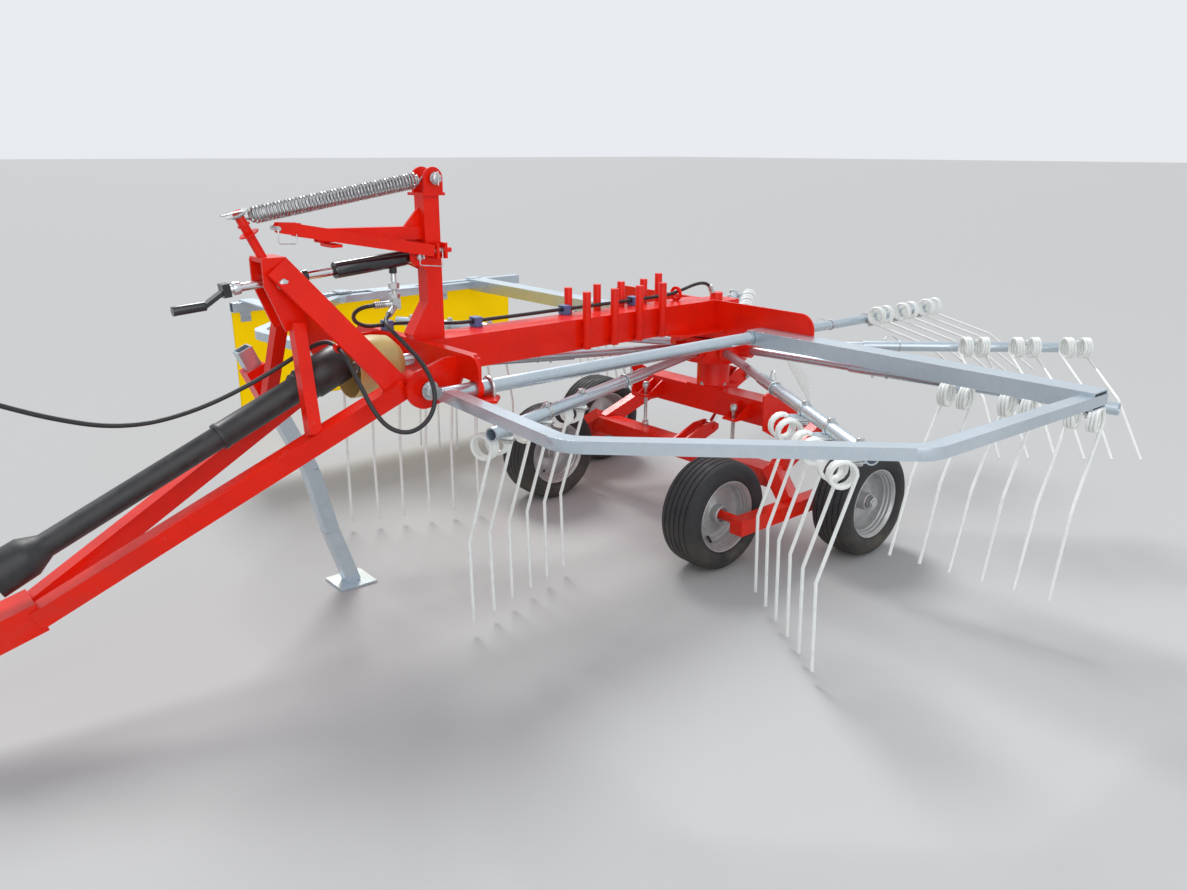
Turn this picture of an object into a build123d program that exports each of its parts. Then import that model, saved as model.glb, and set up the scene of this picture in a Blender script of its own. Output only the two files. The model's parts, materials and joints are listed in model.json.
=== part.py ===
from build123d import *
import math
import os

os.makedirs("parts", exist_ok=True)

# Working coordinates: rotor axis at x = 0, y = 0, ground at z = 0, x forward, y left, z up.
# Every piece moves back by box_centre at the end, so that the box centre stands on the origin.
box_centre = (610, -21.2)

# main beam and mast
beam_width = 120
beam_height = 100
beam_bottom = 700
beam_rear = 70
beam_front = 1292
beam_wall = 6
beam_top = beam_bottom + beam_height
mast_x = beam_front - 66
mast_size = 50
mast_wall = 5
mast_top = 1200
spring_pin = (mast_x - 4, 0, 1247)

# front crosshead and drawbar hinge
crosshead_half = 345
crosshead_bottom = 690
plate = 8
lip_depth = 22
hinge_x = beam_front + 108
hinge_z = 713
ear_y = 234
ear_plate = 12
ear_radius = 55
hinge_pin_radius = 12

# rear crosshead
rear_half = 500
rear_plate_x = 62

# drawbar
leg_width = 50
leg_height = 50
leg_wall = 5
leg_rear_y = 192
leg_front = (hinge_x + 952, 34, 274)
tongue_front = (hinge_x + 1100, 0, 236)
eye_centre = (tongue_front[0] + 72, 0, 236)
eye_radius = 46
eye_hole = 20
eye_plate = 30

# drawbar tower
tower_x = hinge_x + 296
tower_pin = (tower_x, 0, 997)
tower_plate = 8
rear_foot_x = hinge_x + 50

# tilt cylinder with its crank spindle
lug_pin = (mast_x + 52, 0, 1034)
barrel_radius = 22
rod_radius = 12.5
spindle_radius = 11

# drive shaft
input_z = 742
joint_x = beam_front + 283
cup_radius = 84
bell_radius = 54
tube_radius = 35
inner_tube_radius = 30
outer_tube_end = 327
spline_radius = 17.5

# parking stand
stand_y = -210
stand_size = 44
stand_wall = 4

# rotor
arm_z = 616
arm_radius = 19
arm_wall = 3
arm_start = 560
stub_radius = 15
stub_start = 124
hub_radius = 125
sleeve_end = 166
sleeve_radius = 27
hub_bottom = 568
hub_top = 660
slack = 0.3
coil_t = 56
coil_z = -52
coil_outer = 39
coil_inner = 29
coil_width = 30
coil_gap = 30
tine_wire = 9
leg_gap = 48
knee_t = 107
knee_z = -336
tip_t = 100
tip_z = -586
tine_outer_r = 1326
tine_pitch = 186
arm_end = tine_outer_r + 72

# chassis
top_beam_z = 425
top_beam_size = 80
side_y = 345
pivot_x = -125
pivot_z = 365
low_beam_x = 165
low_beam_z = 245
rod_x = 135
rod_y = 228
lift_top = (-158, 0, 482)
lift_low = (10, 0, 300)
rocker_y = 561
rocker_z = 172
wheel_radius = 185
tyre_width = 148
front_wheel = (460, 440)
rear_wheel = (-10, 682)

# guards
guard_z = 706
brace_y = 300
brace_radius = 20
brace_front = hinge_x - 8
guard_tube_wide = 40
guard_tube_high = 30
rear_tube_x = 111
rear_tube_wide = 80
rear_tube_high = 50
guard_out_y = 1430
curtain_y = -1492
corner_bend = 90

# hoses
hose_radius = 6

nodes = {}


def run_plane(start, end, side=(0, 1, 0)):
    start = Vector(*start)
    along = (Vector(*end) - start).normalized()
    side = Vector(*side)
    if abs(side.dot(along)) > 0.99:
        side = Vector(1, 0, 0)
    side = side - along * side.dot(along)
    return Plane(origin=start, x_dir=side, z_dir=along)


def box_run(start, end, wide, high, wall=0, side=(0, 1, 0)):
    length = (Vector(*end) - Vector(*start)).length
    with BuildSketch(run_plane(start, end, side)) as section:
        Rectangle(wide, high)
        if wall:
            Rectangle(wide - 2 * wall, high - 2 * wall, mode=Mode.SUBTRACT)
    extrude(section.sketch, amount=length)


def round_run(start, end, radius, bore=0):
    length = (Vector(*end) - Vector(*start)).length
    with BuildSketch(run_plane(start, end)) as section:
        Circle(radius)
        if bore:
            Circle(bore, mode=Mode.SUBTRACT)
    extrude(section.sketch, amount=length)


def side_plate(points, y, thickness):
    with BuildSketch(Plane(origin=(0, y, 0), x_dir=(1, 0, 0), z_dir=(0, -1, 0))) as section:
        with BuildLine():
            Polyline(*points, close=True)
        make_face()
    extrude(section.sketch, amount=thickness / 2, both=True)


def flat_plate(points, z, thickness):
    with BuildSketch(Plane(origin=(0, 0, z))) as section:
        with BuildLine():
            Polyline(*points, close=True)
        make_face()
    extrude(section.sketch, amount=thickness)


def cross_plate(points, x, thickness, top_corner=0):
    with BuildSketch(Plane(origin=(x, 0, 0), x_dir=(0, 1, 0), z_dir=(1, 0, 0))) as section:
        with BuildLine():
            Polyline(*points, close=True)
        make_face()
        if top_corner:
            fillet(section.vertices().group_by(Axis.Y)[-1], top_corner)
    extrude(section.sketch, amount=thickness)


def bent_tube(points, bend, wide, high):
    with BuildLine() as path:
        FilletPolyline(*points, radius=bend)
    with BuildSketch(Plane(origin=points[0], x_dir=(0, 0, 1), z_dir=path.line % 0)) as section:
        Rectangle(high, wide)
    sweep(section.sketch, path=path.line)


def hose_run(points):
    # straight runs joined by the largest arcs that they allow
    radii = []
    for a, b, c in zip(points, points[1:], points[2:]):
        before = Vector(*b) - Vector(*a)
        after = Vector(*c) - Vector(*b)
        half_turn = math.radians(before.get_angle(after)) / 2
        radii.append(0.45 * min(before.length, after.length) / math.tan(half_turn))
    with BuildLine() as path:
        FilletPolyline(*points, radius=radii)
    with BuildSketch(Plane(origin=points[0], z_dir=path.line % 0)) as section:
        Circle(hose_radius)
    tube = sweep(section.sketch, path=path.line)
    length = sum(edge.length for edge in path.line.edges())
    print("hose length", round(length), "smallest radius", round(min(radii)),
          "volume share", round(tube.volume / (length * math.pi * hose_radius ** 2), 3))


def rounded_lug(pin, corner_a, corner_b, radius, y):
    # a plate that rounds the pin and stands on the edge between two corners
    foot = (Vector(corner_b[0], corner_b[1]) - Vector(corner_a[0], corner_a[1])).normalized()
    centre = Vector(pin[0], pin[2])
    near = centre - foot * radius
    far = centre + foot * radius
    with BuildSketch(Plane(origin=(0, y, 0), x_dir=(1, 0, 0), z_dir=(0, -1, 0))) as section:
        with BuildLine():
            Polyline(corner_a, (near.X, near.Y), (far.X, far.Y), corner_b, close=True)
        make_face()
        with Locations((pin[0], pin[2])):
            Circle(radius)
    extrude(section.sketch, amount=plate / 2, both=True)


def cut_hole(start, end, radius):
    length = (Vector(*end) - Vector(*start)).length
    with BuildSketch(run_plane(start, end)) as section:
        Circle(radius)
    extrude(section.sketch, amount=length, mode=Mode.SUBTRACT)


# main beam: box tube with the mast, its clevis, gussets and lugs
rest_x = mast_x + 310
eyelet_x = 184
hose_y = -30
with BuildPart() as main_beam:
    box_run((beam_rear, 0, beam_bottom + beam_height / 2), (beam_front, 0, beam_bottom + beam_height / 2),
            beam_width, beam_height, beam_wall)
    box_run((mast_x, 0, beam_top), (mast_x, 0, mast_top), mast_size, mast_size, mast_wall)
    box_run((mast_x, 0, mast_top), (mast_x, 0, mast_top + 8), 76, 76)
    for side in (1, -1):
        rounded_lug(spring_pin, (mast_x - 34, mast_top + 8), (mast_x + 26, mast_top + 8), 30, side * 30)
        rounded_lug(lug_pin, (mast_x + 24, lug_pin[2] - 40), (mast_x + 24, lug_pin[2] + 36), 26, side * 26)
    for x in (mast_x - 20, mast_x + 6):
        box_run((x, 24, 1050), (x, 62, 1050), 8, 44, 0, (1, 0, 0))
    side_plate([(mast_x + 25, 1060), (mast_x + 25, 1168), (mast_x + 74, 1116), (mast_x + 74, 1060)], -8, plate)
    box_run((mast_x + 25, -8, 1098), (mast_x + 334, -8, 1106), 30, 36, 3)
    side_plate([(mast_x + 25, beam_top), (mast_x + 25, 903), (mast_x + 82, 815), (mast_x + 74, beam_top)],
               0, mast_size)
    round_run((spring_pin[0], -44, spring_pin[2]), (spring_pin[0], 44, spring_pin[2]), 9)
    round_run((lug_pin[0], -36, lug_pin[2]), (lug_pin[0], 30.5, lug_pin[2]), 10)
    round_run((mast_x - 44, 45, 1050), (mast_x + 36, 45, 1050), 7)
    box_run((rest_x, 0, 1082), (rest_x, 62, 1082), 30, 8)
    box_run((rest_x, -8, 1078), (rest_x, -8, 1092), 20, 20)
    round_run((eyelet_x - 4, hose_y, beam_top + 24), (eyelet_x + 4, hose_y, beam_top + 24), 26, 16)
nodes["main_beam"] = main_beam

# transport lock bar, pinned beside the mast and lying on the fixed arm
with BuildPart() as lock_bar:
    box_run((mast_x + 17, 45, 1051.4), (mast_x + 416, 45, 1128), 28, 32, 3)
    box_run((mast_x + 17, 45, 1051.4), (mast_x + 25, 45, 1052.9), 28, 32)
    cut_hole((mast_x + 4, 45, 1050), (mast_x + 40, 45, 1050), 7 + slack)
    for side in (1, -1):
        side_plate([(mast_x + 404, 1112), (mast_x + 458, 1122), (mast_x + 466, 1135), (mast_x + 458, 1148),
                    (mast_x + 404, 1145)], 45 + side * 14, 6)
nodes["transport_lock_bar"] = lock_bar

# front crosshead: folded front plate, hinge ears and guard tabs
tab_x = beam_front - 40
with BuildPart() as crosshead:
    half = crosshead_half
    cross_plate([(-half, 733), (-262, 733), (-232, crosshead_bottom), (232, crosshead_bottom), (262, 733),
                 (half, 733), (half, beam_top), (-half, beam_top)], beam_front, plate, 40)
    for side in (1, -1):
        flat_plate([(beam_front, side * 60), (beam_front, side * (half - 36)),
                    (beam_front - lip_depth, side * (half - 46)), (beam_front - lip_depth, side * 60)],
                   beam_top - plate, plate)
        with BuildSketch(Plane(origin=(0, side * ear_y, 0), x_dir=(1, 0, 0), z_dir=(0, -1, 0))) as ear:
            with BuildLine():
                Polyline((beam_front, 680), (hinge_x, hinge_z - ear_radius), (hinge_x, hinge_z + ear_radius),
                         (beam_front + 44, 788), (beam_front, 788), close=True)
            make_face()
            with Locations((hinge_x, hinge_z)):
                Circle(ear_radius)
        extrude(ear.sketch, amount=ear_plate / 2, both=True)
        round_run((hinge_x, side * 150, hinge_z), (hinge_x, side * (ear_y + 30), hinge_z), hinge_pin_radius)
        round_run((hinge_x, side * (ear_y + 6), hinge_z), (hinge_x, side * (ear_y + 22), hinge_z), 27)
        flat_plate([(tab_x - 30, side * (brace_y - 30)), (tab_x + 44, side * (brace_y - 30)),
                    (tab_x + 44, side * (brace_y + 40)), (tab_x + 10, side * (brace_y + 72)),
                    (tab_x - 30, side * (brace_y + 30))], guard_z - 31, plate)
        round_run((beam_front - 22, side * brace_y, guard_z), (beam_front - 6, side * brace_y, guard_z),
                  26, brace_radius + 0.3)
        box_run((beam_front - 22, side * brace_y, 760), (beam_front, side * brace_y, 760), 30, 62)
    cut_hole((beam_front - 1, 0, input_z), (beam_front + plate + 1, 0, input_z), 17.3)
nodes["front_crosshead"] = crosshead

# rear crosshead: flat plate across the beam end with guard seats
with BuildPart() as rear_crosshead:
    half = rear_half
    cross_plate([(-half, 690), (-half + 30, 672), (-150, 672), (-130, 692), (130, 692), (150, 672),
                 (half - 30, 672), (half, 690), (half, beam_top), (-half, beam_top)], rear_plate_x, plate, 55)
    flat_plate([(rear_plate_x - 90, -110), (260, -110), (300, -60), (300, 60), (260, 110),
                (rear_plate_x - 90, 110)], beam_bottom - plate, plate)
    for side in (1, -1):
        round_run((rear_plate_x + plate - 1, side * brace_y, guard_z), (rear_tube_x + 45, side * brace_y, guard_z), 12)
    cut_hole((rear_plate_x - 1, 0, input_z), (rear_plate_x + plate + 1, 0, input_z), 17.3)
nodes["rear_crosshead"] = rear_crosshead

# pegs beside the beam for the removed rake arms
peg_columns = ("x", "side", "top")
peg_rows = [
    (700, 1, 889), (580, 1, 889), (468, 1, 889), (359, 1, 889),
    (650, -1, 882), (522, -1, 882), (411, -1, 882), (302, -1, 882), (228, -1, 896),
]
with BuildPart() as storage_pegs:
    for x, side, top in peg_rows:
        round_run((x, side * 78, 704), (x, side * 78, top), 13.5)
        box_run((x, side * 60, 752), (x, side * 70, 752), 20, 60, 0, (1, 0, 0))
nodes["storage_pegs"] = storage_pegs

# gearbox under the beam and the fixed column down to the chassis
with BuildPart() as gearbox:
    round_run((0, 0, hub_top + 5), (0, 0, beam_bottom - plate), 120)
    round_run((0, 0, beam_top - 8), (0, 0, 816), 24)
    box_run((-62, 0, 746), (rear_plate_x, 0, 746), 116, 92)
    round_run((0, 0, top_beam_z + 40), (0, 0, hub_top + 10), 46, 30)
nodes["gearbox"] = gearbox

with BuildPart() as input_shaft:
    round_run((rear_plate_x, 0, input_z), (joint_x - 95, 0, input_z), 17)
    round_run((joint_x - 95, 0, input_z), (joint_x, 0, input_z), 12)
    round_run((joint_x, -30, input_z), (joint_x, 30, input_z), 10)
nodes["input_shaft"] = input_shaft

cup_x = beam_front + 48
with BuildPart() as shaft_cup:
    with BuildSketch(Plane(origin=(0, 0, input_z), x_dir=(1, 0, 0), z_dir=(0, -1, 0))) as section:
        with BuildLine():
            Polyline((cup_x, 17.3), (cup_x + 10, 50), (cup_x + 40, cup_radius - 6), (cup_x + 80, cup_radius),
                     (cup_x + 165, cup_radius), (cup_x + 165, cup_radius - 4), (cup_x + 80, cup_radius - 4),
                     (cup_x + 44, cup_radius - 10), (cup_x + 14, 46), (cup_x + 6, 17.3), close=True)
        make_face()
    revolve(section.sketch, Axis((0, 0, input_z), (1, 0, 0)))
nodes["shaft_cup"] = shaft_cup

# upper chassis: cross beam on the column, side plates to the pivots, rod brackets
arm_y = 420
with BuildPart() as top_chassis:
    size = top_beam_size
    box_run((25, -side_y + 8, top_beam_z - 5), (25, side_y - 8, top_beam_z - 5), 90, size + 10, 6, (1, 0, 0))
    round_run((0, 0, top_beam_z + 40), (0, 0, hub_bottom - 12), 62, 46.3)
    flat_plate([(-76, -70), (70, -70), (70, 70), (-76, 70)], top_beam_z + 40, 6)
    cut_hole((0, 0, top_beam_z + 30), (0, 0, top_beam_z + 60), 46.3)
    for side in (1, -1):
        round_run((pivot_x, side * (side_y - 16), pivot_z), (pivot_x, side * (arm_y + 32), pivot_z), 14)
        side_plate([(40, 336), (104, 372), (112, 500), (84, 508), (pivot_x + 24, pivot_z + 38),
                    (pivot_x - 22, pivot_z + 28), (pivot_x - 36, pivot_z), (pivot_x - 22, pivot_z - 28)],
                   side * (side_y - 4), plate)
        box_run((69, side * rod_y, 400), (rod_x + 26, side * rod_y, 400), 60, 8)
        for edge in (-26, 26):
            side_plate([(69, 400), (rod_x + 24, 400), (69, 455)], side * rod_y + edge, 6)
        side_plate([(-19, 400), (lift_top[0] + 10, 458), (lift_top[0] - 22, 470), (lift_top[0] - 22, 496),
                    (lift_top[0] + 40, 518), (-48, 482), (-48, 464), (-19, 464)], side * 28, plate)
    round_run((lift_top[0], -36, lift_top[2]), (lift_top[0], 36, lift_top[2]), 10)
    for side in (1, -1):
        with BuildSketch(Plane(origin=(0, 0, 380))) as slot:
            with Locations((rod_x, side * rod_y)):
                Rectangle(34, 22)
        extrude(slot.sketch, amount=30, mode=Mode.SUBTRACT)
nodes["top_chassis"] = top_chassis

# limit rods between upper and lower chassis
with BuildPart() as limit_rods:
    for side in (1, -1):
        round_run((rod_x, side * rod_y, low_beam_z + 30), (rod_x, side * rod_y, 450), 7)
        round_run((rod_x, side * rod_y, low_beam_z + 30), (rod_x, side * rod_y, low_beam_z + 42), 13)
        round_run((rod_x, side * rod_y, 430), (rod_x, side * rod_y, 442), 13)
nodes["limit_rods"] = limit_rods

# rotor hub with nine sockets and stub tubes
arm_columns = ("number", "azimuth", "roll")
arm_rows = [
    (1, 18.2, 0), (2, 58.2, 0), (3, 98.2, -25), (4, 138.2, -53), (5, 178.2, -62),
    (6, 218.2, -33), (7, 258.2, -8), (8, 298.2, 0), (9, 338.2, 0),
]
with BuildPart() as rotor_hub:
    round_run((0, 0, hub_bottom), (0, 0, hub_top), hub_radius, 50)
    for number, azimuth, roll in arm_rows:
        ux = math.cos(math.radians(azimuth))
        uy = math.sin(math.radians(azimuth))
        round_run((90 * ux, 90 * uy, arm_z), (sleeve_end * ux, sleeve_end * uy, arm_z), sleeve_radius)
    for number, azimuth, roll in arm_rows:
        ux = math.cos(math.radians(azimuth))
        uy = math.sin(math.radians(azimuth))
        cut_hole(((stub_start - 2) * ux, (stub_start - 2) * uy, arm_z),
                 ((sleeve_end + 1) * ux, (sleeve_end + 1) * uy, arm_z), stub_radius + slack)
nodes["rotor_hub"] = rotor_hub

tine_rows = [tine_outer_r, tine_outer_r - tine_pitch, tine_outer_r - 2 * tine_pitch]
with BuildPart() as arm_shape:
    round_run((stub_start, 0, 0), (700, 0, 0), stub_radius)
    round_run((arm_start, 0, 0), (arm_end, 0, 0), arm_radius, stub_radius)
    for r in tine_rows:
        box_run((r - 15, -28, -20), (r + 15, -28, -20), 35.4, 14)

with BuildPart() as tine_shape:
    for r in tine_rows:
        for side in (1, -1):
            with BuildSketch(Plane(origin=(r + side * coil_gap - coil_width / 2, 0, 0), x_dir=(0, 1, 0),
                                   z_dir=(1, 0, 0))) as coil:
                with Locations((-coil_t, coil_z)):
                    RegularPolygon(coil_outer, 8, rotation=22.5)
                    RegularPolygon(coil_inner, 8, rotation=22.5, mode=Mode.SUBTRACT)
            extrude(coil.sketch, amount=coil_width)
            x = r + side * coil_gap
            knee = (r + side * 46, -knee_t, knee_z)
            start_t = coil_t - (coil_outer + coil_inner) / 2
            box_run((x, -start_t, coil_z), knee, tine_wire, tine_wire, 0, (1, 0, 0))
            box_run(knee, (r + side * leg_gap, -tip_t, tip_z), tine_wire, tine_wire, 0, (1, 0, 0))
        box_run((r - 22, -coil_t, coil_z + 33), (r + 22, -coil_t, coil_z + 33), 20, 8)

for number, azimuth, roll in arm_rows:
    ux = math.cos(math.radians(azimuth))
    uy = math.sin(math.radians(azimuth))
    lean = math.sin(math.radians(roll))
    frame = Plane(origin=(0, 0, arm_z), x_dir=(ux, uy, 0),
                  z_dir=(lean * uy, -lean * ux, math.cos(math.radians(roll))))
    with BuildPart() as arm:
        with Locations(frame.location):
            add(arm_shape.part)
    nodes[f"rake_arm_{number}"] = arm
    with BuildPart() as tines:
        with Locations(frame.location):
            add(tine_shape.part)
    nodes[f"tines_{number}"] = tines

# lower chassis: swing arms, cross beam, rocker tubes with wheel stubs
with BuildPart() as low_chassis:
    box_run((low_beam_x, -470, low_beam_z), (low_beam_x, 470, low_beam_z), 80, 60, 5, (1, 0, 0))
    for side in (1, -1):
        box_run((pivot_x + 16, side * arm_y, pivot_z - 6), (low_beam_x, side * 440, low_beam_z + 8), 40, 56)
        round_run((pivot_x, side * (arm_y - 44), pivot_z), (pivot_x, side * (arm_y + 26), pivot_z), 28)
        box_run((low_beam_x - 4, side * 446, 268), (205, side * (rocker_y - 4), rocker_z + 14), 46, 90)
        box_run((front_wheel[0] + 22, side * rocker_y, rocker_z), (rear_wheel[0] - 20, side * rocker_y, rocker_z),
                50, 50, 5)
        round_run((front_wheel[0], side * (rocker_y - 25), wheel_radius),
                  (front_wheel[0], side * (front_wheel[1] - 60), wheel_radius), 15)
        round_run((rear_wheel[0], side * (rocker_y + 25), wheel_radius),
                  (rear_wheel[0], side * (rear_wheel[1] + 60), wheel_radius), 15)
        side_plate([(low_beam_x - 36, 240), (low_beam_x + 20, 274), (70, 318), (10, 322), (-14, 308),
                    (-14, 290), (4, 280)], side * 24, plate)
    for side in (1, -1):
        round_run((lift_low[0], side * 16.6, lift_low[2]), (lift_low[0], side * 34, lift_low[2]), 9)
    for side in (1, -1):
        cut_hole((rod_x, side * rod_y, low_beam_z + 24), (rod_x, side * rod_y, low_beam_z + 30), 7)
    for side in (1, -1):
        with BuildSketch(Plane(origin=(pivot_x, side * (side_y + 25), pivot_z), x_dir=(1, 0, 0),
                               z_dir=(0, side, 0))):
            Circle(14.3)
        extrude(amount=100, mode=Mode.SUBTRACT)
nodes["low_chassis"] = low_chassis

# chassis lift cylinder from the upper frame's bracket to the lower beam's ears
lift_length = math.dist(lift_top, lift_low)
lift_along = (Vector(*lift_low) - Vector(*lift_top)).normalized()


def lift_point(distance):
    return (lift_top[0] + lift_along.X * distance, 0, lift_top[2] + lift_along.Z * distance)


with BuildPart() as lift_barrel:
    round_run((lift_top[0], -19, lift_top[2]), (lift_top[0], 19, lift_top[2]), 19)
    round_run(lift_top, lift_point(150), 20)
    cut_hole((lift_top[0], -21, lift_top[2]), (lift_top[0], 21, lift_top[2]), 10 + slack)
    cut_hole(lift_point(30), lift_point(152), 11 + slack)
nodes["lift_barrel"] = lift_barrel
with BuildPart() as lift_rod:
    round_run(lift_point(50), lift_point(lift_length - 12), 11)
    round_run((lift_low[0], -16, lift_low[2]), (lift_low[0], 16, lift_low[2]), 17)
nodes["lift_rod"] = lift_rod

# wheels
wheel_columns = ("name", "x", "y", "out")
wheel_rows = [
    ("front_left", front_wheel[0], front_wheel[1], 1),
    ("front_right", front_wheel[0], -front_wheel[1], -1),
    ("rear_left", rear_wheel[0], rear_wheel[1], -1),
    ("rear_right", rear_wheel[0], -rear_wheel[1], 1),
]
half_width = tyre_width / 2
for name, x, y, out in wheel_rows:
    with BuildPart() as tyre:
        with BuildSketch(Plane(origin=(x, y, wheel_radius), x_dir=(0, 1, 0), z_dir=(1, 0, 0))) as section:
            with BuildLine():
                Polyline((-57.7, 104), (-57.7, 121), (-70, 132), (-half_width, 148), (-66, 173), (-48, 183),
                         (0, wheel_radius), (48, 183), (66, 173), (half_width, 148), (70, 132), (57.7, 121),
                         (57.7, 104), close=True)
            make_face()
        revolve(section.sketch, Axis((x, y, wheel_radius), (0, 1, 0)))
    nodes[f"tyre_{name}"] = tyre
    with BuildPart() as rim:
        with BuildSketch(Plane(origin=(x, y, wheel_radius), x_dir=(0, 1, 0), z_dir=(1, 0, 0))) as section:
            with BuildLine():
                Polyline((-62, 100), (-62, 120), (-58, 120), (-58, 103.7), (58, 103.7), (58, 120), (62, 120),
                         (62, 100), (-6, 100), (-6, 42), (34, 42), (34, 15.4), (-34, 15.4), (-34, 42),
                         (-12, 42), (-12, 100), close=True)
            make_face()
        revolve(section.sketch, Axis((x, y, wheel_radius), (0, 1, 0)))
    nodes[f"rim_{name}"] = rim

# drawbar: two legs, tower, tongue and stand socket
leg_rear = (hinge_x + 40, leg_rear_y, hinge_z + 2)
clip = Vector(tower_x - 122, 98, 824)
clip_along = Vector(0, -42, 12).normalized()
with BuildPart() as drawbar:
    for side in (1, -1):
        rear = (leg_rear[0], side * leg_rear[1], leg_rear[2])
        front = (leg_front[0], side * leg_front[1], leg_front[2])
        box_run(rear, front, leg_width, leg_height, leg_wall)
        round_run((hinge_x, side * 150, hinge_z), (hinge_x, side * 222, hinge_z), 36, hinge_pin_radius + 0.3)
        box_run((tower_x, side * 46, 1040), (rear_foot_x, side * 190, 712), 70, tower_plate, 0, (1, 0, 0))
        box_run((tower_x - 36, side * 51, 890), (tower_x - 12, side * 152, 618), 34, 34, 0, (1, 0, 0))
        rounded_lug(tower_pin, (tower_x - 72, 884), (tower_x - 10, 872), 36, side * 38)
        round_run((tower_x, side * 33.5, tower_pin[2]), (tower_x, side * 46, tower_pin[2]), 10)
        box_run((tower_x + 4, side * 38, 1000), (tower_x + 4, side * 38, 1056), 64, tower_plate, 0, (1, 0, 0))
    box_run((tower_x - 28, 0, 1056), (tower_x + 34, 0, 1056), 84, 12)
    box_run((tongue_front[0] - 160, 0, 279), tongue_front, 106, 76, 6)
    cross_plate([(-56, 190), (56, 190), (56, 284), (-56, 284)], tongue_front[0] - 2, 12)
    round_run((tower_x + 15, 0, 1056), (tower_x + 72, 0, 1176), 12)
    round_run((tower_x + 55, 0, 1140.2), (tower_x + 57, 0, 1144.4), 16)
    box_run((tower_x - 56, stand_y, 618.9), (tower_x - 6, stand_y, 737.5), 60, 60, 7.6)
    box_run((tower_x - 30, stand_y + 27, 652), (tower_x - 30, -150, 652), 30, 40, 0, (1, 0, 0))
    round_run(tuple(clip - clip_along * 8), tuple(clip + clip_along * 8), 11, hose_radius + 2 * slack)
    box_run((clip.X - 8, clip.Y, clip.Z), (clip.X - 24, clip.Y, clip.Z), 12, 6)
    box_run((clip.X - 19, clip.Y - 6, clip.Z), (clip.X - 19, clip.Y + 41, clip.Z), 10, 6, 0, (1, 0, 0))
nodes["drawbar"] = drawbar

with BuildPart() as hitch_eye:
    with BuildSketch(Plane(origin=(0, 0, eye_centre[2] - eye_plate / 2))) as section:
        with Locations((eye_centre[0], 0)):
            Circle(eye_radius)
        with Locations((eye_centre[0] - 35, 0)):
            Rectangle(50, 64)
        with Locations((eye_centre[0], 0)):
            Circle(eye_hole, mode=Mode.SUBTRACT)
    extrude(section.sketch, amount=eye_plate)
    cross_plate([(-50, 194), (50, 194), (50, 280), (-50, 280)], tongue_front[0] + 10 + slack, 12)
nodes["hitch_eye"] = hitch_eye

# tilt cylinder: barrel on the mast, rod and spindle through the tower block
def tilt_point(x):
    return (x, 0, lug_pin[2] + (tower_pin[2] - lug_pin[2]) * (x - lug_pin[0]) / (tower_pin[0] - lug_pin[0]))


port_x = mast_x + 119
with BuildPart() as tilt_barrel:
    round_run((lug_pin[0], -20, lug_pin[2]), (lug_pin[0], 20, lug_pin[2]), 22, 10.3)
    round_run(tilt_point(lug_pin[0] + 14), tilt_point(lug_pin[0] + 36), 16)
    round_run(tilt_point(lug_pin[0] + 30), tilt_point(lug_pin[0] + 242), barrel_radius, rod_radius + 2 * slack)
    round_run((port_x, 0, 1012), (port_x, 0, 992), 11)
nodes["tilt_barrel"] = tilt_barrel

with BuildPart() as tilt_rod:
    round_run(tilt_point(lug_pin[0] + 70), tilt_point(tower_x - 96), rod_radius)
    round_run(tilt_point(tower_x - 96), tilt_point(tower_x - 84), 16)
    round_run(tilt_point(tower_x - 84), tilt_point(tower_x + 110), spindle_radius)
    round_run(tilt_point(tower_x + 84), tilt_point(tower_x + 102), 17)
    box_run((tower_x, -33, tower_pin[2]), (tower_x, 33, tower_pin[2]), 34, 34)
nodes["tilt_rod"] = tilt_rod

crank_z = tilt_point(tower_x + 110)[2]
with BuildPart() as crank:
    box_run((tower_x + 110.5, 0, crank_z), (tower_x + 130, 0, crank_z - 2), 34, 34)
    box_run((tower_x + 128, 0, crank_z - 6), (tower_x + 176, 0, crank_z - 36), 26, 10)
    round_run((tower_x + 172, 0, crank_z - 35), (tower_x + 252, 0, crank_z - 41), 12)
nodes["crank"] = crank

# port fitting and tee under the tilt cylinder
with BuildPart() as cylinder_fittings:
    round_run((port_x, 0, 992), (port_x, 0, 920), 8)
    round_run((port_x, 0, 966), (port_x, 0, 950), 12)
    round_run((port_x, 0, 936), (port_x, 0, 922), 12)
    box_run((port_x, 0, 922), (port_x, 0, 892), 26, 24)
    round_run((port_x, 0, 907), (port_x + 34, 0, 907), 9)
    round_run((port_x, 0, 900), (port_x + 22, 22, 892), 9)
nodes["cylinder_fittings"] = cylinder_fittings

# drive shaft with its bell, turned about its own line from the joint cross
shaft_end = (joint_x + 845, 0, 381)
shaft_length = math.dist(shaft_end, (joint_x, 0, input_z))
shaft_along = Vector(shaft_end[0] - joint_x, 0, shaft_end[2] - input_z).normalized()

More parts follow.
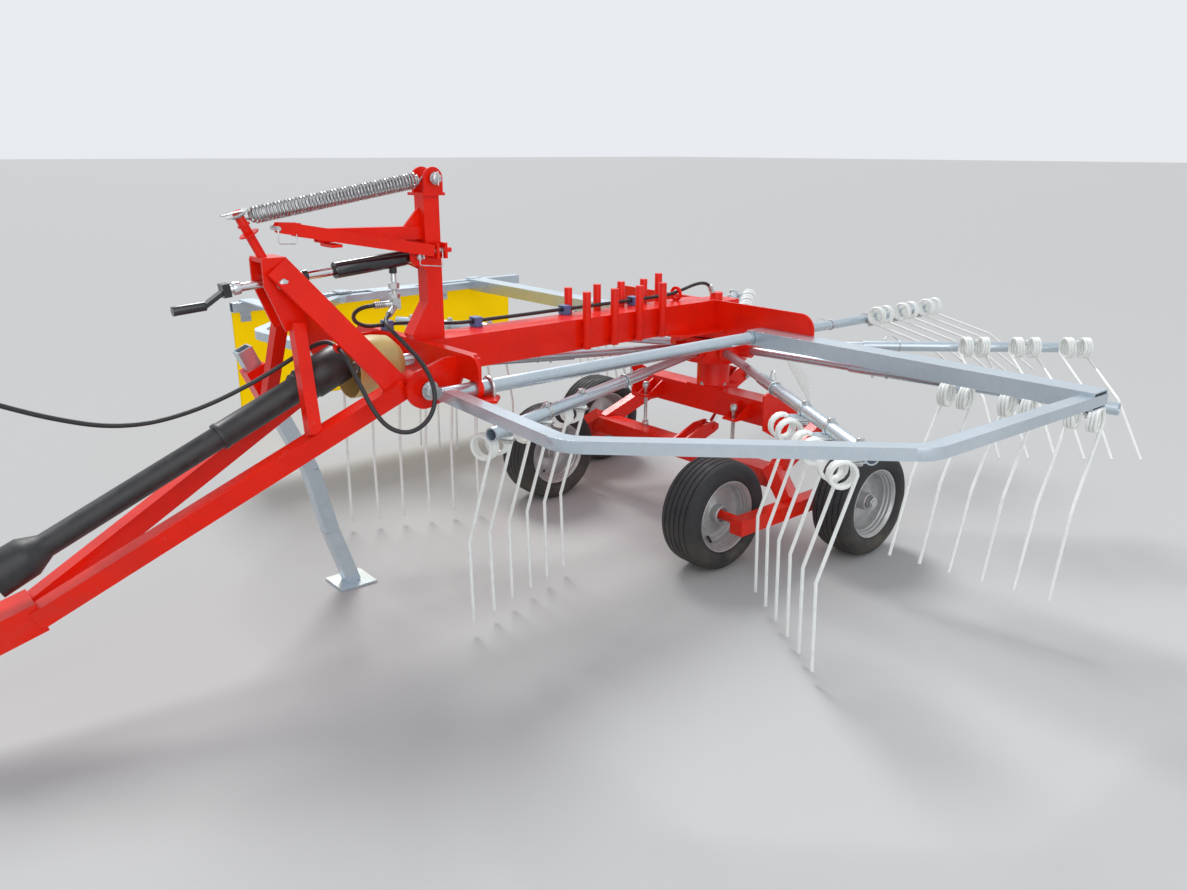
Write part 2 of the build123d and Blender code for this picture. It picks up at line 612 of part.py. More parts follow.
with BuildPart() as drive_shaft:
    with BuildSketch(Plane(origin=(joint_x, 0, input_z), x_dir=(shaft_along.X, 0, shaft_along.Z),
                           z_dir=(0, -1, 0))) as section:
        with BuildLine():
            Polyline((38, 0), (38, 34), (60, 34), (60, 26), (96, 26), (44, bell_radius - 4),
                     (-54, bell_radius - 4), (-54, bell_radius), (40, bell_radius), (48, bell_radius - 5),
                     (54, bell_radius - 3), (64, bell_radius - 9), (70, bell_radius - 7),
                     (80, bell_radius - 13), (86, bell_radius - 11), (98, tube_radius),
                     (outer_tube_end - 12, tube_radius),
                     (outer_tube_end - 12, tube_radius + 2), (outer_tube_end, tube_radius + 2),
                     (outer_tube_end, inner_tube_radius), (shaft_length - 130, inner_tube_radius),
                     (shaft_length - 86, 50), (shaft_length, 52),
                     (shaft_length, 48), (shaft_length - 84, 46), (shaft_length - 100, 32),
                     (shaft_length - 12, 32), (shaft_length - 12, spline_radius),
                     (shaft_length - 82, spline_radius), (shaft_length - 82, 0), close=True)
        make_face()
    revolve(section.sketch, Axis((joint_x, 0, input_z), (shaft_along.X, 0, shaft_along.Z)))
    for side in (1, -1):
        box_run((joint_x - 16 * shaft_along.X, side * 23, input_z - 16 * shaft_along.Z),
                (joint_x + 40 * shaft_along.X, side * 23, input_z + 40 * shaft_along.Z), 8, 32)
    cut_hole((joint_x, -30, input_z), (joint_x, 30, input_z), 10 + slack)
nodes["drive_shaft"] = drive_shaft

# parking stand, foot down
foot_x = tower_x - 254
with BuildPart() as stand:
    box_run((tower_x - 148, stand_y, 401), (tower_x + 17, stand_y, 792), stand_size, stand_size, stand_wall)
    box_run((tower_x - 148, stand_y, 401), (tower_x - 195, stand_y, 195), stand_size, stand_size, stand_wall)
    box_run((tower_x - 195, stand_y, 195), (foot_x, stand_y, 6), stand_size, stand_size, stand_wall)
    flat_plate([(foot_x - 58, stand_y - 60), (foot_x + 62, stand_y - 60), (foot_x + 62, stand_y + 60),
                (foot_x - 58, stand_y + 60)], 0, 8)
    with BuildSketch(Plane.XY) as below:
        with Locations((foot_x, stand_y)):
            Rectangle(300, 100)
    extrude(below.sketch, amount=-40, mode=Mode.SUBTRACT)
nodes["parking_stand"] = stand

# side guards: brace tube, bent outer tube, rear tube
for name, side in (("left", 1), ("right", -1)):
    with BuildPart() as guard:
        round_run((rear_tube_x + 40, side * brace_y, guard_z), (brace_front, side * brace_y, guard_z), brace_radius)
        corners = [(hinge_x - 28, 275), (hinge_x + 18, 850), (850, 1400), (75, guard_out_y)]
        bent_tube([(x, side * y, guard_z) for x, y in corners], corner_bend, guard_tube_wide, guard_tube_high)
        box_run((rear_tube_x, side * (brace_y - 15), guard_z), (rear_tube_x, side * (guard_out_y + 15), guard_z),
                rear_tube_wide, rear_tube_high, 4, (1, 0, 0))
        cut_hole((60, side * brace_y, guard_z), (rear_tube_x + 46, side * brace_y, guard_z), 12.3)
    nodes[f"guard_{name}"] = guard

# rail that carries the curtain, on three brackets from the right guard
rail_y = curtain_y + 24
with BuildPart() as curtain_rail:
    box_run((-150, rail_y, guard_z), (1280, rail_y, guard_z), 36, 40, 3)
    bracket_columns = ("x", "inner_y")
    for x, inner_y in ((1210, -1090), (800, -1420), (rear_tube_x, -1446)):
        box_run((x, inner_y, guard_z + 24), (x, rail_y - 18, guard_z + 24), 60, 7.4, 0, (1, 0, 0))
nodes["curtain_rail"] = curtain_rail

with BuildPart() as curtain:
    box_run((-110, rail_y - 18 - slack - 3, 502), (1275, rail_y - 18 - slack - 3, 502), 6, 444)
nodes["curtain"] = curtain

# lift spring between tower rod and mast
spring_front = (tower_x + 42, 0, 1163)
spring_rear = (mast_x + 24, 0, 1242)
spring_length = math.dist(spring_front, spring_rear)
spring_along = (Vector(*spring_rear) - Vector(*spring_front)).normalized()
hook_ring = (tower_x + 67, 0, 1165.5)
bar_along = Vector(57, 0, 120).normalized()


def spring_point(distance):
    return (spring_front[0] + spring_along.X * distance, 0, spring_front[2] + spring_along.Z * distance)


with BuildPart() as spring:
    round_run(spring_front, spring_rear, 22)
    round_run(spring_point(8), spring_point(-4), 5)
    round_run((hook_ring[0] - 4 * bar_along.X, 0, hook_ring[2] - 4 * bar_along.Z),
              (hook_ring[0] + 4 * bar_along.X, 0, hook_ring[2] + 4 * bar_along.Z), 20, 12 + slack)
    round_run(spring_point(spring_length - 8), spring_point(spring_length + 14), 5)
    round_run((spring_pin[0], -7, spring_pin[2]), (spring_pin[0], 7, spring_pin[2]), 16, 9 + slack)
nodes["lift_spring"] = spring

# hoses: along the beam into the gearbox cap, round the hinge to the tower, and on to the coupler
beam_hose_points = [
    (1379.3, 0, 907), (1410, -1, 907.5), (1434, -16, 903), (1444, -44, 890), (1438, -78, 868), (1414, -112, 846),
    (1380, -140, 830), (1352, -159, 820), (1316, -168, 817), (1246, -168, 817.4), (1192, -144, 816),
    (1142, -98, 815), (1094, -50.6, 816.7), (1010, -50, 817.2), (860, -49, 816.6), (720, -50.5, 817.4),
    (560, -50, 816.6), (400, -49.6, 817.2), (350, -49, 817), (280, -41, 820), (210, -31, 823.5),
    (150, -24, 838), (104, -16, 852), (62, -8, 856), (34, -2, 842), (24, 0, 816.3),
]
loop_hose_points = [
    (1368, 22.9, 891.6), (1388, 42, 885), (1416, 70, 877), (1432, 112, 866), (1430, 162, 845), (1422, 215, 815),
    (1418, 270, 784), (1421, 318, 742), (1433, 342, 694), (1462, 342, 650), (1504, 322, 626), (1544, 292, 640),
    (1566, 258, 684), (1573, 216, 738), (1576, 174, 781), (1575.4, 137, 812.8), (1574, 98, 824),
]
feed_hose_points = [
    (1574, 97.8, 824.06), (1574, 63, 834), (1592, 36, 832), (1624, 15, 814), (1676, 4, 785), (1740, 0, 755),
    (1810, 0, 728), (1890, 0, 703), (1970, 0, 687), (2050, 0, 681), (2140, 0, 693), (2230, 0, 726),
    (2310, 0, 763), (2360, 0, 790),
]
hoses = [("beam_hose", beam_hose_points), ("loop_hose", loop_hose_points), ("feed_hose", feed_hose_points)]
for name, points in hoses:
    with BuildPart() as hose:
        hose_run(points)
    nodes[name] = hose

# quick coupler on the end of the feed hose
plug_along = (Vector(*feed_hose_points[-1]) - Vector(*feed_hose_points[-2])).normalized()


def plug_point(distance):
    return tuple(Vector(*feed_hose_points[-1]) + plug_along * distance)


with BuildPart() as feed_plug:
    round_run(plug_point(0), plug_point(24), 9)
    round_run(plug_point(24), plug_point(38), 13)
    round_run(plug_point(38), plug_point(62), 10)
    round_run(plug_point(62), plug_point(76), 8)
nodes["feed_plug"] = feed_plug

# clamps that hold the hose on the beam
with BuildPart() as hose_clamps:
    clamp_columns = ("x", "y")
    for x, y in ((beam_front - 9, -168), (1041, -50), (688, -50), (378, -50)):
        box_run((x - 13, y, beam_top + 15), (x + 13, y, beam_top + 15), 36, 30)
        cut_hole((x - 14, y, beam_top + 17), (x + 14, y, beam_top + 17), hose_radius + 2)
nodes["hose_clamps"] = hose_clamps

shift = Location((-box_centre[0], -box_centre[1], 0))
for label, piece in nodes.items():
    piece.part.move(shift)
    piece.part.label = label
    export_step(piece.part, f"parts/{label}.step")
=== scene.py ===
import bpy
import bmesh
import json
import math
from mathutils import Matrix, Vector


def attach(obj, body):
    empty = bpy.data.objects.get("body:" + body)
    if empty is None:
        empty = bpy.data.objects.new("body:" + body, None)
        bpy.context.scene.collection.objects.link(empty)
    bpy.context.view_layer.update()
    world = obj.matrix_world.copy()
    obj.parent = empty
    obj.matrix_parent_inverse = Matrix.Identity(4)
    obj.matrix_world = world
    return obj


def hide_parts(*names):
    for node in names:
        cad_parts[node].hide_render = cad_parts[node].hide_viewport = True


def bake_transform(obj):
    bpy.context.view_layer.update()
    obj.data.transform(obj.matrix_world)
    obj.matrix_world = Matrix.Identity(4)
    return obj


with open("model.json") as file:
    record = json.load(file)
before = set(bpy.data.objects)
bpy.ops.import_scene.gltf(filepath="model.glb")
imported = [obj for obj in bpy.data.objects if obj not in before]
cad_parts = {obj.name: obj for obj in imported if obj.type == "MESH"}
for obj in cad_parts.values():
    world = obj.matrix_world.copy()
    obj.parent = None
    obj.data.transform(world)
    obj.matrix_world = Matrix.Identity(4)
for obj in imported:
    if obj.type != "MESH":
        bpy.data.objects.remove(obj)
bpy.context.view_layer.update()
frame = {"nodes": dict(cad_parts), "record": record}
nodes = frame["nodes"]
print("frame loaded with", len(nodes), "nodes")

# sizes and places below are in millimetres, and places are measured from the rotor's axis and the ground
rotorAxis = {"x": -0.610, "y": 0.0212}    # where that axis stands in the frame, in metres


def spot(x, y, z):
    # such a place as a point of the frame
    return Vector((x / 1000 + rotorAxis["x"], y / 1000 + rotorAxis["y"], z / 1000))


# camera, floor, backdrop and light
viewpoint = {"eye": (2665, 2402, 1327), "yaw": -130.645, "pitch": 17.342, "roll": 0.187,
             "focalPixels": 950.0, "imageWidth": 1187, "sensor": 36.0, "farClip": 200}
studio = {"floorSize": 240, "floorColour": (0.47, 0.47, 0.46, 1), "floorRoughness": 0.9, "floorSpecular": 0.2,
          "worldColour": (0.88, 0.92, 1.0, 1), "worldStrength": 0.70, "backdropColour": (0.81, 0.84, 0.87, 1),
          "sun": {"strength": 2.5, "angle": 22, "turn": (38, -18, 0)},
          "side": {"size": 6, "power": 130, "at": (2.5, 5.5, 3.6)}}


def aimCamera(v):
    yaw, pitch, roll = (math.radians(v[k]) for k in ("yaw", "pitch", "roll"))
    ahead = Vector((math.cos(yaw) * math.cos(pitch), math.sin(yaw) * math.cos(pitch), -math.sin(pitch)))
    right = Vector((math.sin(yaw), -math.cos(yaw), 0))
    up = right.cross(ahead)
    tiltedRight = right * math.cos(roll) + up * math.sin(roll)
    tiltedUp = up * math.cos(roll) - right * math.sin(roll)
    data = bpy.data.cameras.new("viewCamera")
    data.sensor_width = v["sensor"]
    data.lens = v["focalPixels"] / v["imageWidth"] * v["sensor"]
    data.clip_end = v["farClip"]
    camera = bpy.data.objects.new("viewCamera", data)
    bpy.context.scene.collection.objects.link(camera)
    turn = Matrix((tiltedRight, tiltedUp, -ahead)).transposed().to_4x4()
    camera.matrix_world = Matrix.Translation(spot(*v["eye"])) @ turn
    bpy.context.scene.camera = camera


def layFloor(s):
    mesh = bmesh.new()
    bmesh.ops.create_grid(mesh, x_segments=1, y_segments=1, size=s["floorSize"] / 2)
    data = bpy.data.meshes.new("studioFloor")
    mesh.to_mesh(data)
    mesh.free()
    floor = bpy.data.objects.new("studioFloor", data)
    bpy.context.scene.collection.objects.link(floor)
    finish = bpy.data.materials.new("paleFloor")
    finish.use_nodes = True
    surface = finish.node_tree.nodes["Principled BSDF"]
    surface.inputs["Base Color"].default_value = s["floorColour"]
    surface.inputs["Roughness"].default_value = s["floorRoughness"]
    surface.inputs["Specular IOR Level"].default_value = s["floorSpecular"]
    data.materials.append(finish)


def paintBackdrop(s):
    world = bpy.data.worlds.new("softSky")
    bpy.context.scene.world = world
    world.use_nodes = True
    tree = world.node_tree
    tree.nodes.clear()
    n, link = tree.nodes, tree.links.new
    light, pale = n.new("ShaderNodeBackground"), n.new("ShaderNodeBackground")
    light.inputs["Color"].default_value = s["worldColour"]
    light.inputs["Strength"].default_value = s["worldStrength"]
    pale.inputs["Color"].default_value = s["backdropColour"]
    path = n.new("ShaderNodeLightPath")
    mirrored, clear = n.new("ShaderNodeMath"), n.new("ShaderNodeMath")
    mirrored.operation = clear.operation = "MAXIMUM"
    mix = n.new("ShaderNodeMixShader")
    out = n.new("ShaderNodeOutputWorld")
    # the camera, mirror surfaces and clear ones see the pale backdrop; the rest gets the sky's light
    link(path.outputs["Is Camera Ray"], mirrored.inputs[0])
    link(path.outputs["Is Glossy Ray"], mirrored.inputs[1])
    link(mirrored.outputs[0], clear.inputs[0])
    link(path.outputs["Is Transmission Ray"], clear.inputs[1])
    link(clear.outputs[0], mix.inputs["Fac"])
    link(light.outputs[0], mix.inputs[1])
    link(pale.outputs[0], mix.inputs[2])
    link(mix.outputs[0], out.inputs["Surface"])


def hangLights(s):
    sun = bpy.data.lights.new("skyLight", "SUN")
    sun.energy = s["sun"]["strength"]
    sun.angle = math.radians(s["sun"]["angle"])
    sunObject = bpy.data.objects.new("skyLight", sun)
    sunObject.rotation_euler = [math.radians(a) for a in s["sun"]["turn"]]
    bpy.context.scene.collection.objects.link(sunObject)
    side = bpy.data.lights.new("sideLight", "AREA")
    side.size = s["side"]["size"]
    side.energy = s["side"]["power"]
    sideObject = bpy.data.objects.new("sideLight", side)
    sideObject.location = s["side"]["at"]
    sideObject.rotation_euler = (-Vector(s["side"]["at"])).to_track_quat("-Z", "Y").to_euler()
    bpy.context.scene.collection.objects.link(sideObject)


aimCamera(viewpoint)
layFloor(studio)
paintBackdrop(studio)
hangLights(studio)
bpy.context.scene.view_settings.view_transform = "Standard"
print("camera and studio set")


# finishes: masks first, then the materials that use them
maskLooks = {"paintSpeckle": {"low": 0.42, "high": 0.62, "detail": 6, "roughness": 0.62},
             "paintChips": {"low": 0.66, "high": 0.72, "detail": 6, "roughness": 0.62},
             "fieldDust": {"low": 0.35, "high": 0.75, "detail": 8, "roughness": 0.7, "scale": 9}}


def startGroup(name, inputs):
    # an empty node group with inputs of these values and one mask to put out
    group = bpy.data.node_groups.new(name, "ShaderNodeTree")
    for socketName, value in inputs.items():
        socket = group.interface.new_socket(socketName, in_out="INPUT", socket_type="NodeSocketFloat")
        socket.default_value = value
    group.interface.new_socket("Mask", in_out="OUTPUT", socket_type="NodeSocketFloat")
    return group, group.nodes.new("NodeGroupInput"), group.nodes.new("NodeGroupOutput")


def cloudMask(group, m):
    # noise on object coordinates, stretched from low to high
    n, link = group.nodes, group.links.new
    where = n.new("ShaderNodeTexCoord")
    noise = n.new("ShaderNodeTexNoise")
    noise.inputs["Detail"].default_value = m["detail"]
    noise.inputs["Roughness"].default_value = m["roughness"]
    stretch = n.new("ShaderNodeMapRange")
    stretch.inputs["From Min"].default_value = m["low"]
    stretch.inputs["From Max"].default_value = m["high"]
    link(where.outputs["Object"], noise.inputs["Vector"])
    link(noise.outputs["Fac"], stretch.inputs["Value"])
    return where, noise, stretch


def patchGroup(name):
    # patches of one size, for a second tone or for chips
    group, entry, leave = startGroup(name, {"Scale": 40})
    where, noise, stretch = cloudMask(group, maskLooks[name])
    group.links.new(entry.outputs["Scale"], noise.inputs["Scale"])
    group.links.new(stretch.outputs["Result"], leave.inputs["Mask"])
    return group


def dustGroup(name):
    # dust that gathers low on the machine and in patches
    group, entry, leave = startGroup(name, {"Height": 0.5, "Amount": 0.5})
    where, noise, stretch = cloudMask(group, maskLooks[name])
    noise.inputs["Scale"].default_value = maskLooks[name]["scale"]
    n, link = group.nodes, group.links.new
    split = n.new("ShaderNodeSeparateXYZ")
    fade = n.new("ShaderNodeMapRange")
    fade.inputs["From Min"].default_value = 0
    fade.inputs["To Min"].default_value = 1
    fade.inputs["To Max"].default_value = 0
    times, amount = n.new("ShaderNodeMath"), n.new("ShaderNodeMath")
    times.operation = amount.operation = "MULTIPLY"
    link(where.outputs["Object"], split.inputs["Vector"])
    link(split.outputs["Z"], fade.inputs["Value"])
    link(entry.outputs["Height"], fade.inputs["From Max"])
    link(fade.outputs["Result"], times.inputs[0])
    link(stretch.outputs["Result"], times.inputs[1])
    link(times.outputs[0], amount.inputs[0])
    link(entry.outputs["Amount"], amount.inputs[1])
    link(amount.outputs[0], leave.inputs["Mask"])
    return group


speckle = patchGroup("paintSpeckle")
chips = patchGroup("paintChips")
dust = dustGroup("fieldDust")

# what a finish has where its own row says nothing
plainFinish = {"metal": 0, "coat": 0, "coatRoughness": 0.12, "specular": 0.5, "toneScale": 30,
               "chips": 0, "chipScale": 75, "chipColour": (0.25, 0.22, 0.2, 1),
               "dust": 0, "dustHeight": 0.3, "dustColour": (0.28, 0.24, 0.17, 1),
               "bump": 0, "bumpScale": 300, "bumpDetail": 4, "bumpDepth": 0.002}
finishes = {
    "orangeRed": {"colour": (0.84, 0.014, 0.002, 1), "tone": (0.75, 0.011, 0.002, 1), "toneScale": 9,
                  "roughness": (0.24, 0.36), "coat": 0.10, "specular": 0.20, "bump": 0.04, "bumpScale": 160,
                  "chips": 0.22, "dust": 0.28, "dustHeight": 0.45},
    "cream": {"colour": (0.88, 0.90, 0.87, 1), "tone": (0.82, 0.84, 0.80, 1), "toneScale": 40,
              "roughness": (0.3, 0.45), "coat": 0.2, "dust": 0.45, "dustHeight": 0.10},
    "silver": {"colour": (0.53, 0.53, 0.53, 1), "tone": (0.45, 0.45, 0.45, 1), "roughness": (0.30, 0.42),
               "metal": 0.45, "dust": 0.35},
    "springSteel": {"colour": (0.45, 0.45, 0.46, 1), "tone": (0.36, 0.36, 0.37, 1), "toneScale": 90,
                    "roughness": (0.22, 0.36), "metal": 0.9},
    "blackPaint": {"colour": (0.010, 0.010, 0.014, 1), "tone": (0.016, 0.016, 0.020, 1),
                   "roughness": (0.16, 0.26), "coat": 0.4},
    "blackPlastic": {"colour": (0.02, 0.02, 0.022, 1), "tone": (0.035, 0.034, 0.034, 1), "toneScale": 22,
                     "roughness": (0.38, 0.55), "bump": 0.08, "bumpScale": 420},
    "creamPlastic": {"colour": (0.62, 0.47, 0.17, 1), "tone": (0.52, 0.39, 0.14, 1), "toneScale": 12,
                     "roughness": (0.3, 0.45), "coat": 0.2},
    "chrome": {"colour": (0.75, 0.76, 0.78, 1), "tone": (0.68, 0.69, 0.71, 1), "toneScale": 25,
               "roughness": (0.08, 0.18), "metal": 1},
    "zinc": {"colour": (0.62, 0.63, 0.64, 1), "tone": (0.5, 0.51, 0.5, 1), "toneScale": 90,
             "roughness": (0.25, 0.42), "metal": 0.9},
    "tyreRubber": {"colour": (0.028, 0.028, 0.031, 1), "tone": (0.042, 0.041, 0.043, 1), "toneScale": 25,
                   "roughness": (0.6, 0.8), "specular": 0.35, "bump": 0.12, "bumpScale": 500,
                   "dust": 0.85, "dustHeight": 0.22, "dustColour": (0.16, 0.14, 0.10, 1)},
    "hoseRubber": {"colour": (0.016, 0.016, 0.018, 1), "tone": (0.026, 0.026, 0.028, 1), "toneScale": 60,
                   "roughness": (0.4, 0.55), "bump": 0.06, "bumpScale": 700},
    "bluePlastic": {"colour": (0.09, 0.16, 0.36, 1), "tone": (0.075, 0.13, 0.30, 1), "toneScale": 50,
                    "roughness": (0.4, 0.55)},
}
galvanisedLook = {"dark": (0.42, 0.50, 0.55, 1), "light": (0.62, 0.69, 0.75, 1), "metal": 0.75, "spangle": 55,
                  "cloud": 3, "cloudDetail": 5, "spangleWeight": 0.16, "roughness": (0.20, 0.36)}
clothLook = {"colour": (1.0, 0.82, 0.004, 1), "shade": (0.96, 0.75, 0.004, 1), "shadeScale": 6,
             "through": (1.0, 0.80, 0.004, 1), "throughShare": 0.55, "roughness": 0.55, "specular": 0.1,
             "threadScale": 143.312, "bump": 0.15, "bumpDepth": 0.0006}


def newMaterial(name):
    material = bpy.data.materials.new(name)
    material.use_nodes = True
    tree = material.node_tree
    return material, tree.nodes, tree.links.new, tree.nodes["Principled BSDF"]


def mixColour(n, link, mask, first, second):
    # either colour may be a plain value or another node's output
    mix = n.new("ShaderNodeMix")
    mix.data_type = "RGBA"
    link(mask, mix.inputs["Factor"])
    for socket, value in ((mix.inputs["A"], first), (mix.inputs["B"], second)):
        if hasattr(value, "links"):
            link(value, socket)
        else:
            socket.default_value = value
    return mix.outputs["Result"]


def linkRoughness(n, link, mask, surface, low, high):
    rough = n.new("ShaderNodeMapRange")
    rough.inputs["To Min"].default_value = low
    rough.inputs["To Max"].default_value = high
    link(mask, rough.inputs["Value"])
    link(rough.outputs["Result"], surface.inputs["Roughness"])


def finishMaterial(name, ownLook):
    f = {**plainFinish, **ownLook}
    material, n, link, surface = newMaterial(name)
    surface.inputs["Metallic"].default_value = f["metal"]
    surface.inputs["Coat Weight"].default_value = f["coat"]
    surface.inputs["Coat Roughness"].default_value = f["coatRoughness"]
    surface.inputs["Specular IOR Level"].default_value = f["specular"]

    def groupMask(group, **values):
        node = n.new("ShaderNodeGroup")
        node.node_tree = group
        for key, value in values.items():
            node.inputs[key].default_value = value
        return node.outputs["Mask"]

    tone = groupMask(speckle, Scale=f["toneScale"])
    colour = mixColour(n, link, tone, f["colour"], f["tone"])
    if f["chips"]:
        weaker = n.new("ShaderNodeMath")
        weaker.operation = "MULTIPLY"
        weaker.inputs[1].default_value = f["chips"]
        link(groupMask(chips, Scale=f["chipScale"]), weaker.inputs[0])
        colour = mixColour(n, link, weaker.outputs[0], colour, f["chipColour"])
    if f["dust"]:
        dustMask = groupMask(dust, Height=f["dustHeight"], Amount=f["dust"])
        colour = mixColour(n, link, dustMask, colour, f["dustColour"])
    link(colour, surface.inputs["Base Color"])
    linkRoughness(n, link, tone, surface, *f["roughness"])
    if f["bump"]:
        where = n.new("ShaderNodeTexCoord")
        grain = n.new("ShaderNodeTexNoise")
        grain.inputs["Scale"].default_value = f["bumpScale"]
        grain.inputs["Detail"].default_value = f["bumpDetail"]
        bump = n.new("ShaderNodeBump")
        bump.inputs["Strength"].default_value = f["bump"]
        bump.inputs["Distance"].default_value = f["bumpDepth"]
        link(where.outputs["Object"], grain.inputs["Vector"])
        link(grain.outputs["Fac"], bump.inputs["Height"])
        link(bump.outputs["Normal"], surface.inputs["Normal"])
    return material


def galvanisedMaterial(name, f):
    # zinc spangle from a cell pattern under soft cloudy tones
    material, n, link, surface = newMaterial(name)
    surface.inputs["Metallic"].default_value = f["metal"]
    where = n.new("ShaderNodeTexCoord")
    cells = n.new("ShaderNodeTexVoronoi")
    cells.inputs["Scale"].default_value = f["spangle"]
    cells.inputs["Randomness"].default_value = 1
    cellTone = n.new("ShaderNodeSeparateColor")
    cloud = n.new("ShaderNodeTexNoise")
    cloud.inputs["Scale"].default_value = f["cloud"]
    cloud.inputs["Detail"].default_value = f["cloudDetail"]
    weigh = n.new("ShaderNodeMath")
    weigh.operation = "MULTIPLY_ADD"
    weigh.inputs[1].default_value = f["spangleWeight"]
    link(where.outputs["Object"], cells.inputs["Vector"])
    link(where.outputs["Object"], cloud.inputs["Vector"])
    link(cells.outputs["Color"], cellTone.inputs["Color"])
    link(cellTone.outputs["Red"], weigh.inputs[0])
    link(cloud.outputs["Fac"], weigh.inputs[2])
    link(mixColour(n, link, weigh.outputs[0], f["dark"], f["light"]), surface.inputs["Base Color"])
    linkRoughness(n, link, cloud.outputs["Fac"], surface, *f["roughness"])
    return material


def curtainMaterial(name, f):
    material, n, link, surface = newMaterial(name)
    surface.inputs["Roughness"].default_value = f["roughness"]
    surface.inputs["Specular IOR Level"].default_value = f["specular"]
    where = n.new("ShaderNodeTexCoord")
    weft, warp = n.new("ShaderNodeTexWave"), n.new("ShaderNodeTexWave")
    weft.bands_direction, warp.bands_direction = "X", "Z"
    weft.inputs["Scale"].default_value = warp.inputs["Scale"].default_value = f["threadScale"]
    weave = n.new("ShaderNodeMath")
    weave.operation = "ADD"
    soft = n.new("ShaderNodeTexNoise")
    soft.inputs["Scale"].default_value = f["shadeScale"]
    bump = n.new("ShaderNodeBump")
    bump.inputs["Strength"].default_value = f["bump"]
    bump.inputs["Distance"].default_value = f["bumpDepth"]
    for node in (weft, warp, soft):
        link(where.outputs["Object"], node.inputs["Vector"])
    link(weft.outputs["Fac"], weave.inputs[0])
    link(warp.outputs["Fac"], weave.inputs[1])
    link(weave.outputs[0], bump.inputs["Height"])
    link(mixColour(n, link, soft.outputs["Fac"], f["colour"], f["shade"]), surface.inputs["Base Color"])
    link(bump.outputs["Normal"], surface.inputs["Normal"])
    # thin coated cloth lets light through from behind
    glow = n.new("ShaderNodeBsdfTranslucent")
    glow.inputs["Color"].default_value = f["through"]
    thin = n.new("ShaderNodeMixShader")
    thin.inputs["Fac"].default_value = f["throughShare"]
    link(surface.outputs[0], thin.inputs[1])
    link(glow.outputs[0], thin.inputs[2])
    link(thin.outputs[0], n["Material Output"].inputs["Surface"])
    return material


paint = {name: finishMaterial(name, look) for name, look in finishes.items()}
paint["galvanised"] = galvanisedMaterial("galvanised", galvanisedLook)
paint["yellowCloth"] = curtainMaterial("yellowCloth", clothLook)
slotFinish = {"orange_red": "orangeRed", "galvanised": "galvanised", "cream_paint": "cream",
              "silver_paint": "silver", "black_paint": "blackPaint", "black_plastic": "blackPlastic",
              "cream_plastic": "creamPlastic", "polished_rod": "chrome", "zinc": "zinc", "tyre": "tyreRubber",
              "yellow_cloth": "yellowCloth", "hose_rubber": "hoseRubber", "blue_plastic": "bluePlastic"}
softEdges = {"weld": 0.00002, "width": 0.0012, "segments": 2, "angle": 35}
for subpart in frame["record"]["subparts"]:
    node = nodes[subpart["node"]]
    node.data.materials.clear()
    node.data.materials.append(paint[slotFinish[subpart["material_slot"]]])
    weld = node.modifiers.new("joinFaces", "WELD")
    weld.merge_threshold = softEdges["weld"]
    edge = node.modifiers.new("softEdges", "BEVEL")
    edge.width = softEdges["width"]
    edge.segments = softEdges["segments"]
    edge.limit_method = "ANGLE"
    edge.angle_limit = math.radians(softEdges["angle"])
print("finishes made")


# helpers for new pieces
meshCare = {"merge": 0.00001, "sharpAngle": 38}


def addPiece(name, mesh, finish, body, replaced=()):
    # body is None for a piece that runs between two bodies, which is then left unattached
    bmesh.ops.remove_doubles(mesh, verts=mesh.verts, dist=meshCare["merge"])
    bmesh.ops.recalc_face_normals(mesh, faces=mesh.faces)
    data = bpy.data.meshes.new(name)
    mesh.to_mesh(data)
    mesh.free()
    data.materials.append(paint[finish])
    data.shade_smooth()
    data.set_sharp_from_angle(angle=math.radians(meshCare["sharpAngle"]))
    piece = bpy.data.objects.new(name, data)
    bpy.context.scene.collection.objects.link(piece)
    if body:
        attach(piece, body)
    if replaced:
        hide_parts(*replaced)
    return piece


def turnedRing(mesh, outline, centre, axis, steps):
    # spins a closed outline of (along, radius) in millimetres about an axis through centre
    axis = Vector(axis).normalized()
    side = axis.orthogonal().normalized()
    verts = []
    for along, radius in outline:
        verts.append(mesh.verts.new(centre + axis * (along / 1000) + side * (radius / 1000)))
    edges = [mesh.edges.new((verts[i], verts[(i + 1) % len(verts)])) for i in range(len(verts))]
    bmesh.ops.spin(mesh, geom=verts + edges, cent=centre, axis=axis, dvec=(0, 0, 0), angle=math.tau,
                   steps=steps, use_merge=True, use_duplicate=False)


def bandOutline(half, inner, outer, easeAlong=0, easeDown=0):
    # a ring's outline, with its outer edges eased where that is asked
    if not easeAlong:
        return [(-half, inner), (-half, outer), (half, outer), (half, inner)]
    return [(-half, inner), (-half, outer - easeDown), (easeAlong - half, outer), (half - easeAlong, outer),
            (half, outer - easeDown), (half, inner)]


def turnFromUp(direction):
    # the turn of a piece that is made along Z and has to lie along this direction
    return Vector((0, 0, 1)).rotation_difference(direction).to_matrix()


def coneOn(mesh, foot, axis, low, top, height, sides):
    # a closed cone or cylinder in metres, standing on foot
    cone = bmesh.ops.create_cone(mesh, cap_ends=True, segments=sides, radius1=low, radius2=top, depth=height)
    bmesh.ops.rotate(mesh, verts=cone["verts"], cent=(0, 0, 0), matrix=turnFromUp(axis))
    bmesh.ops.translate(mesh, verts=cone["verts"], vec=foot + axis * (height / 2))


nutLook = {"washerThick": 2.2, "washerSides": 24, "crownSides": 20, "crownLow": 0.80, "crownTop": 0.62,
           "crownHeight": 1.6, "crownSink": 0.1}


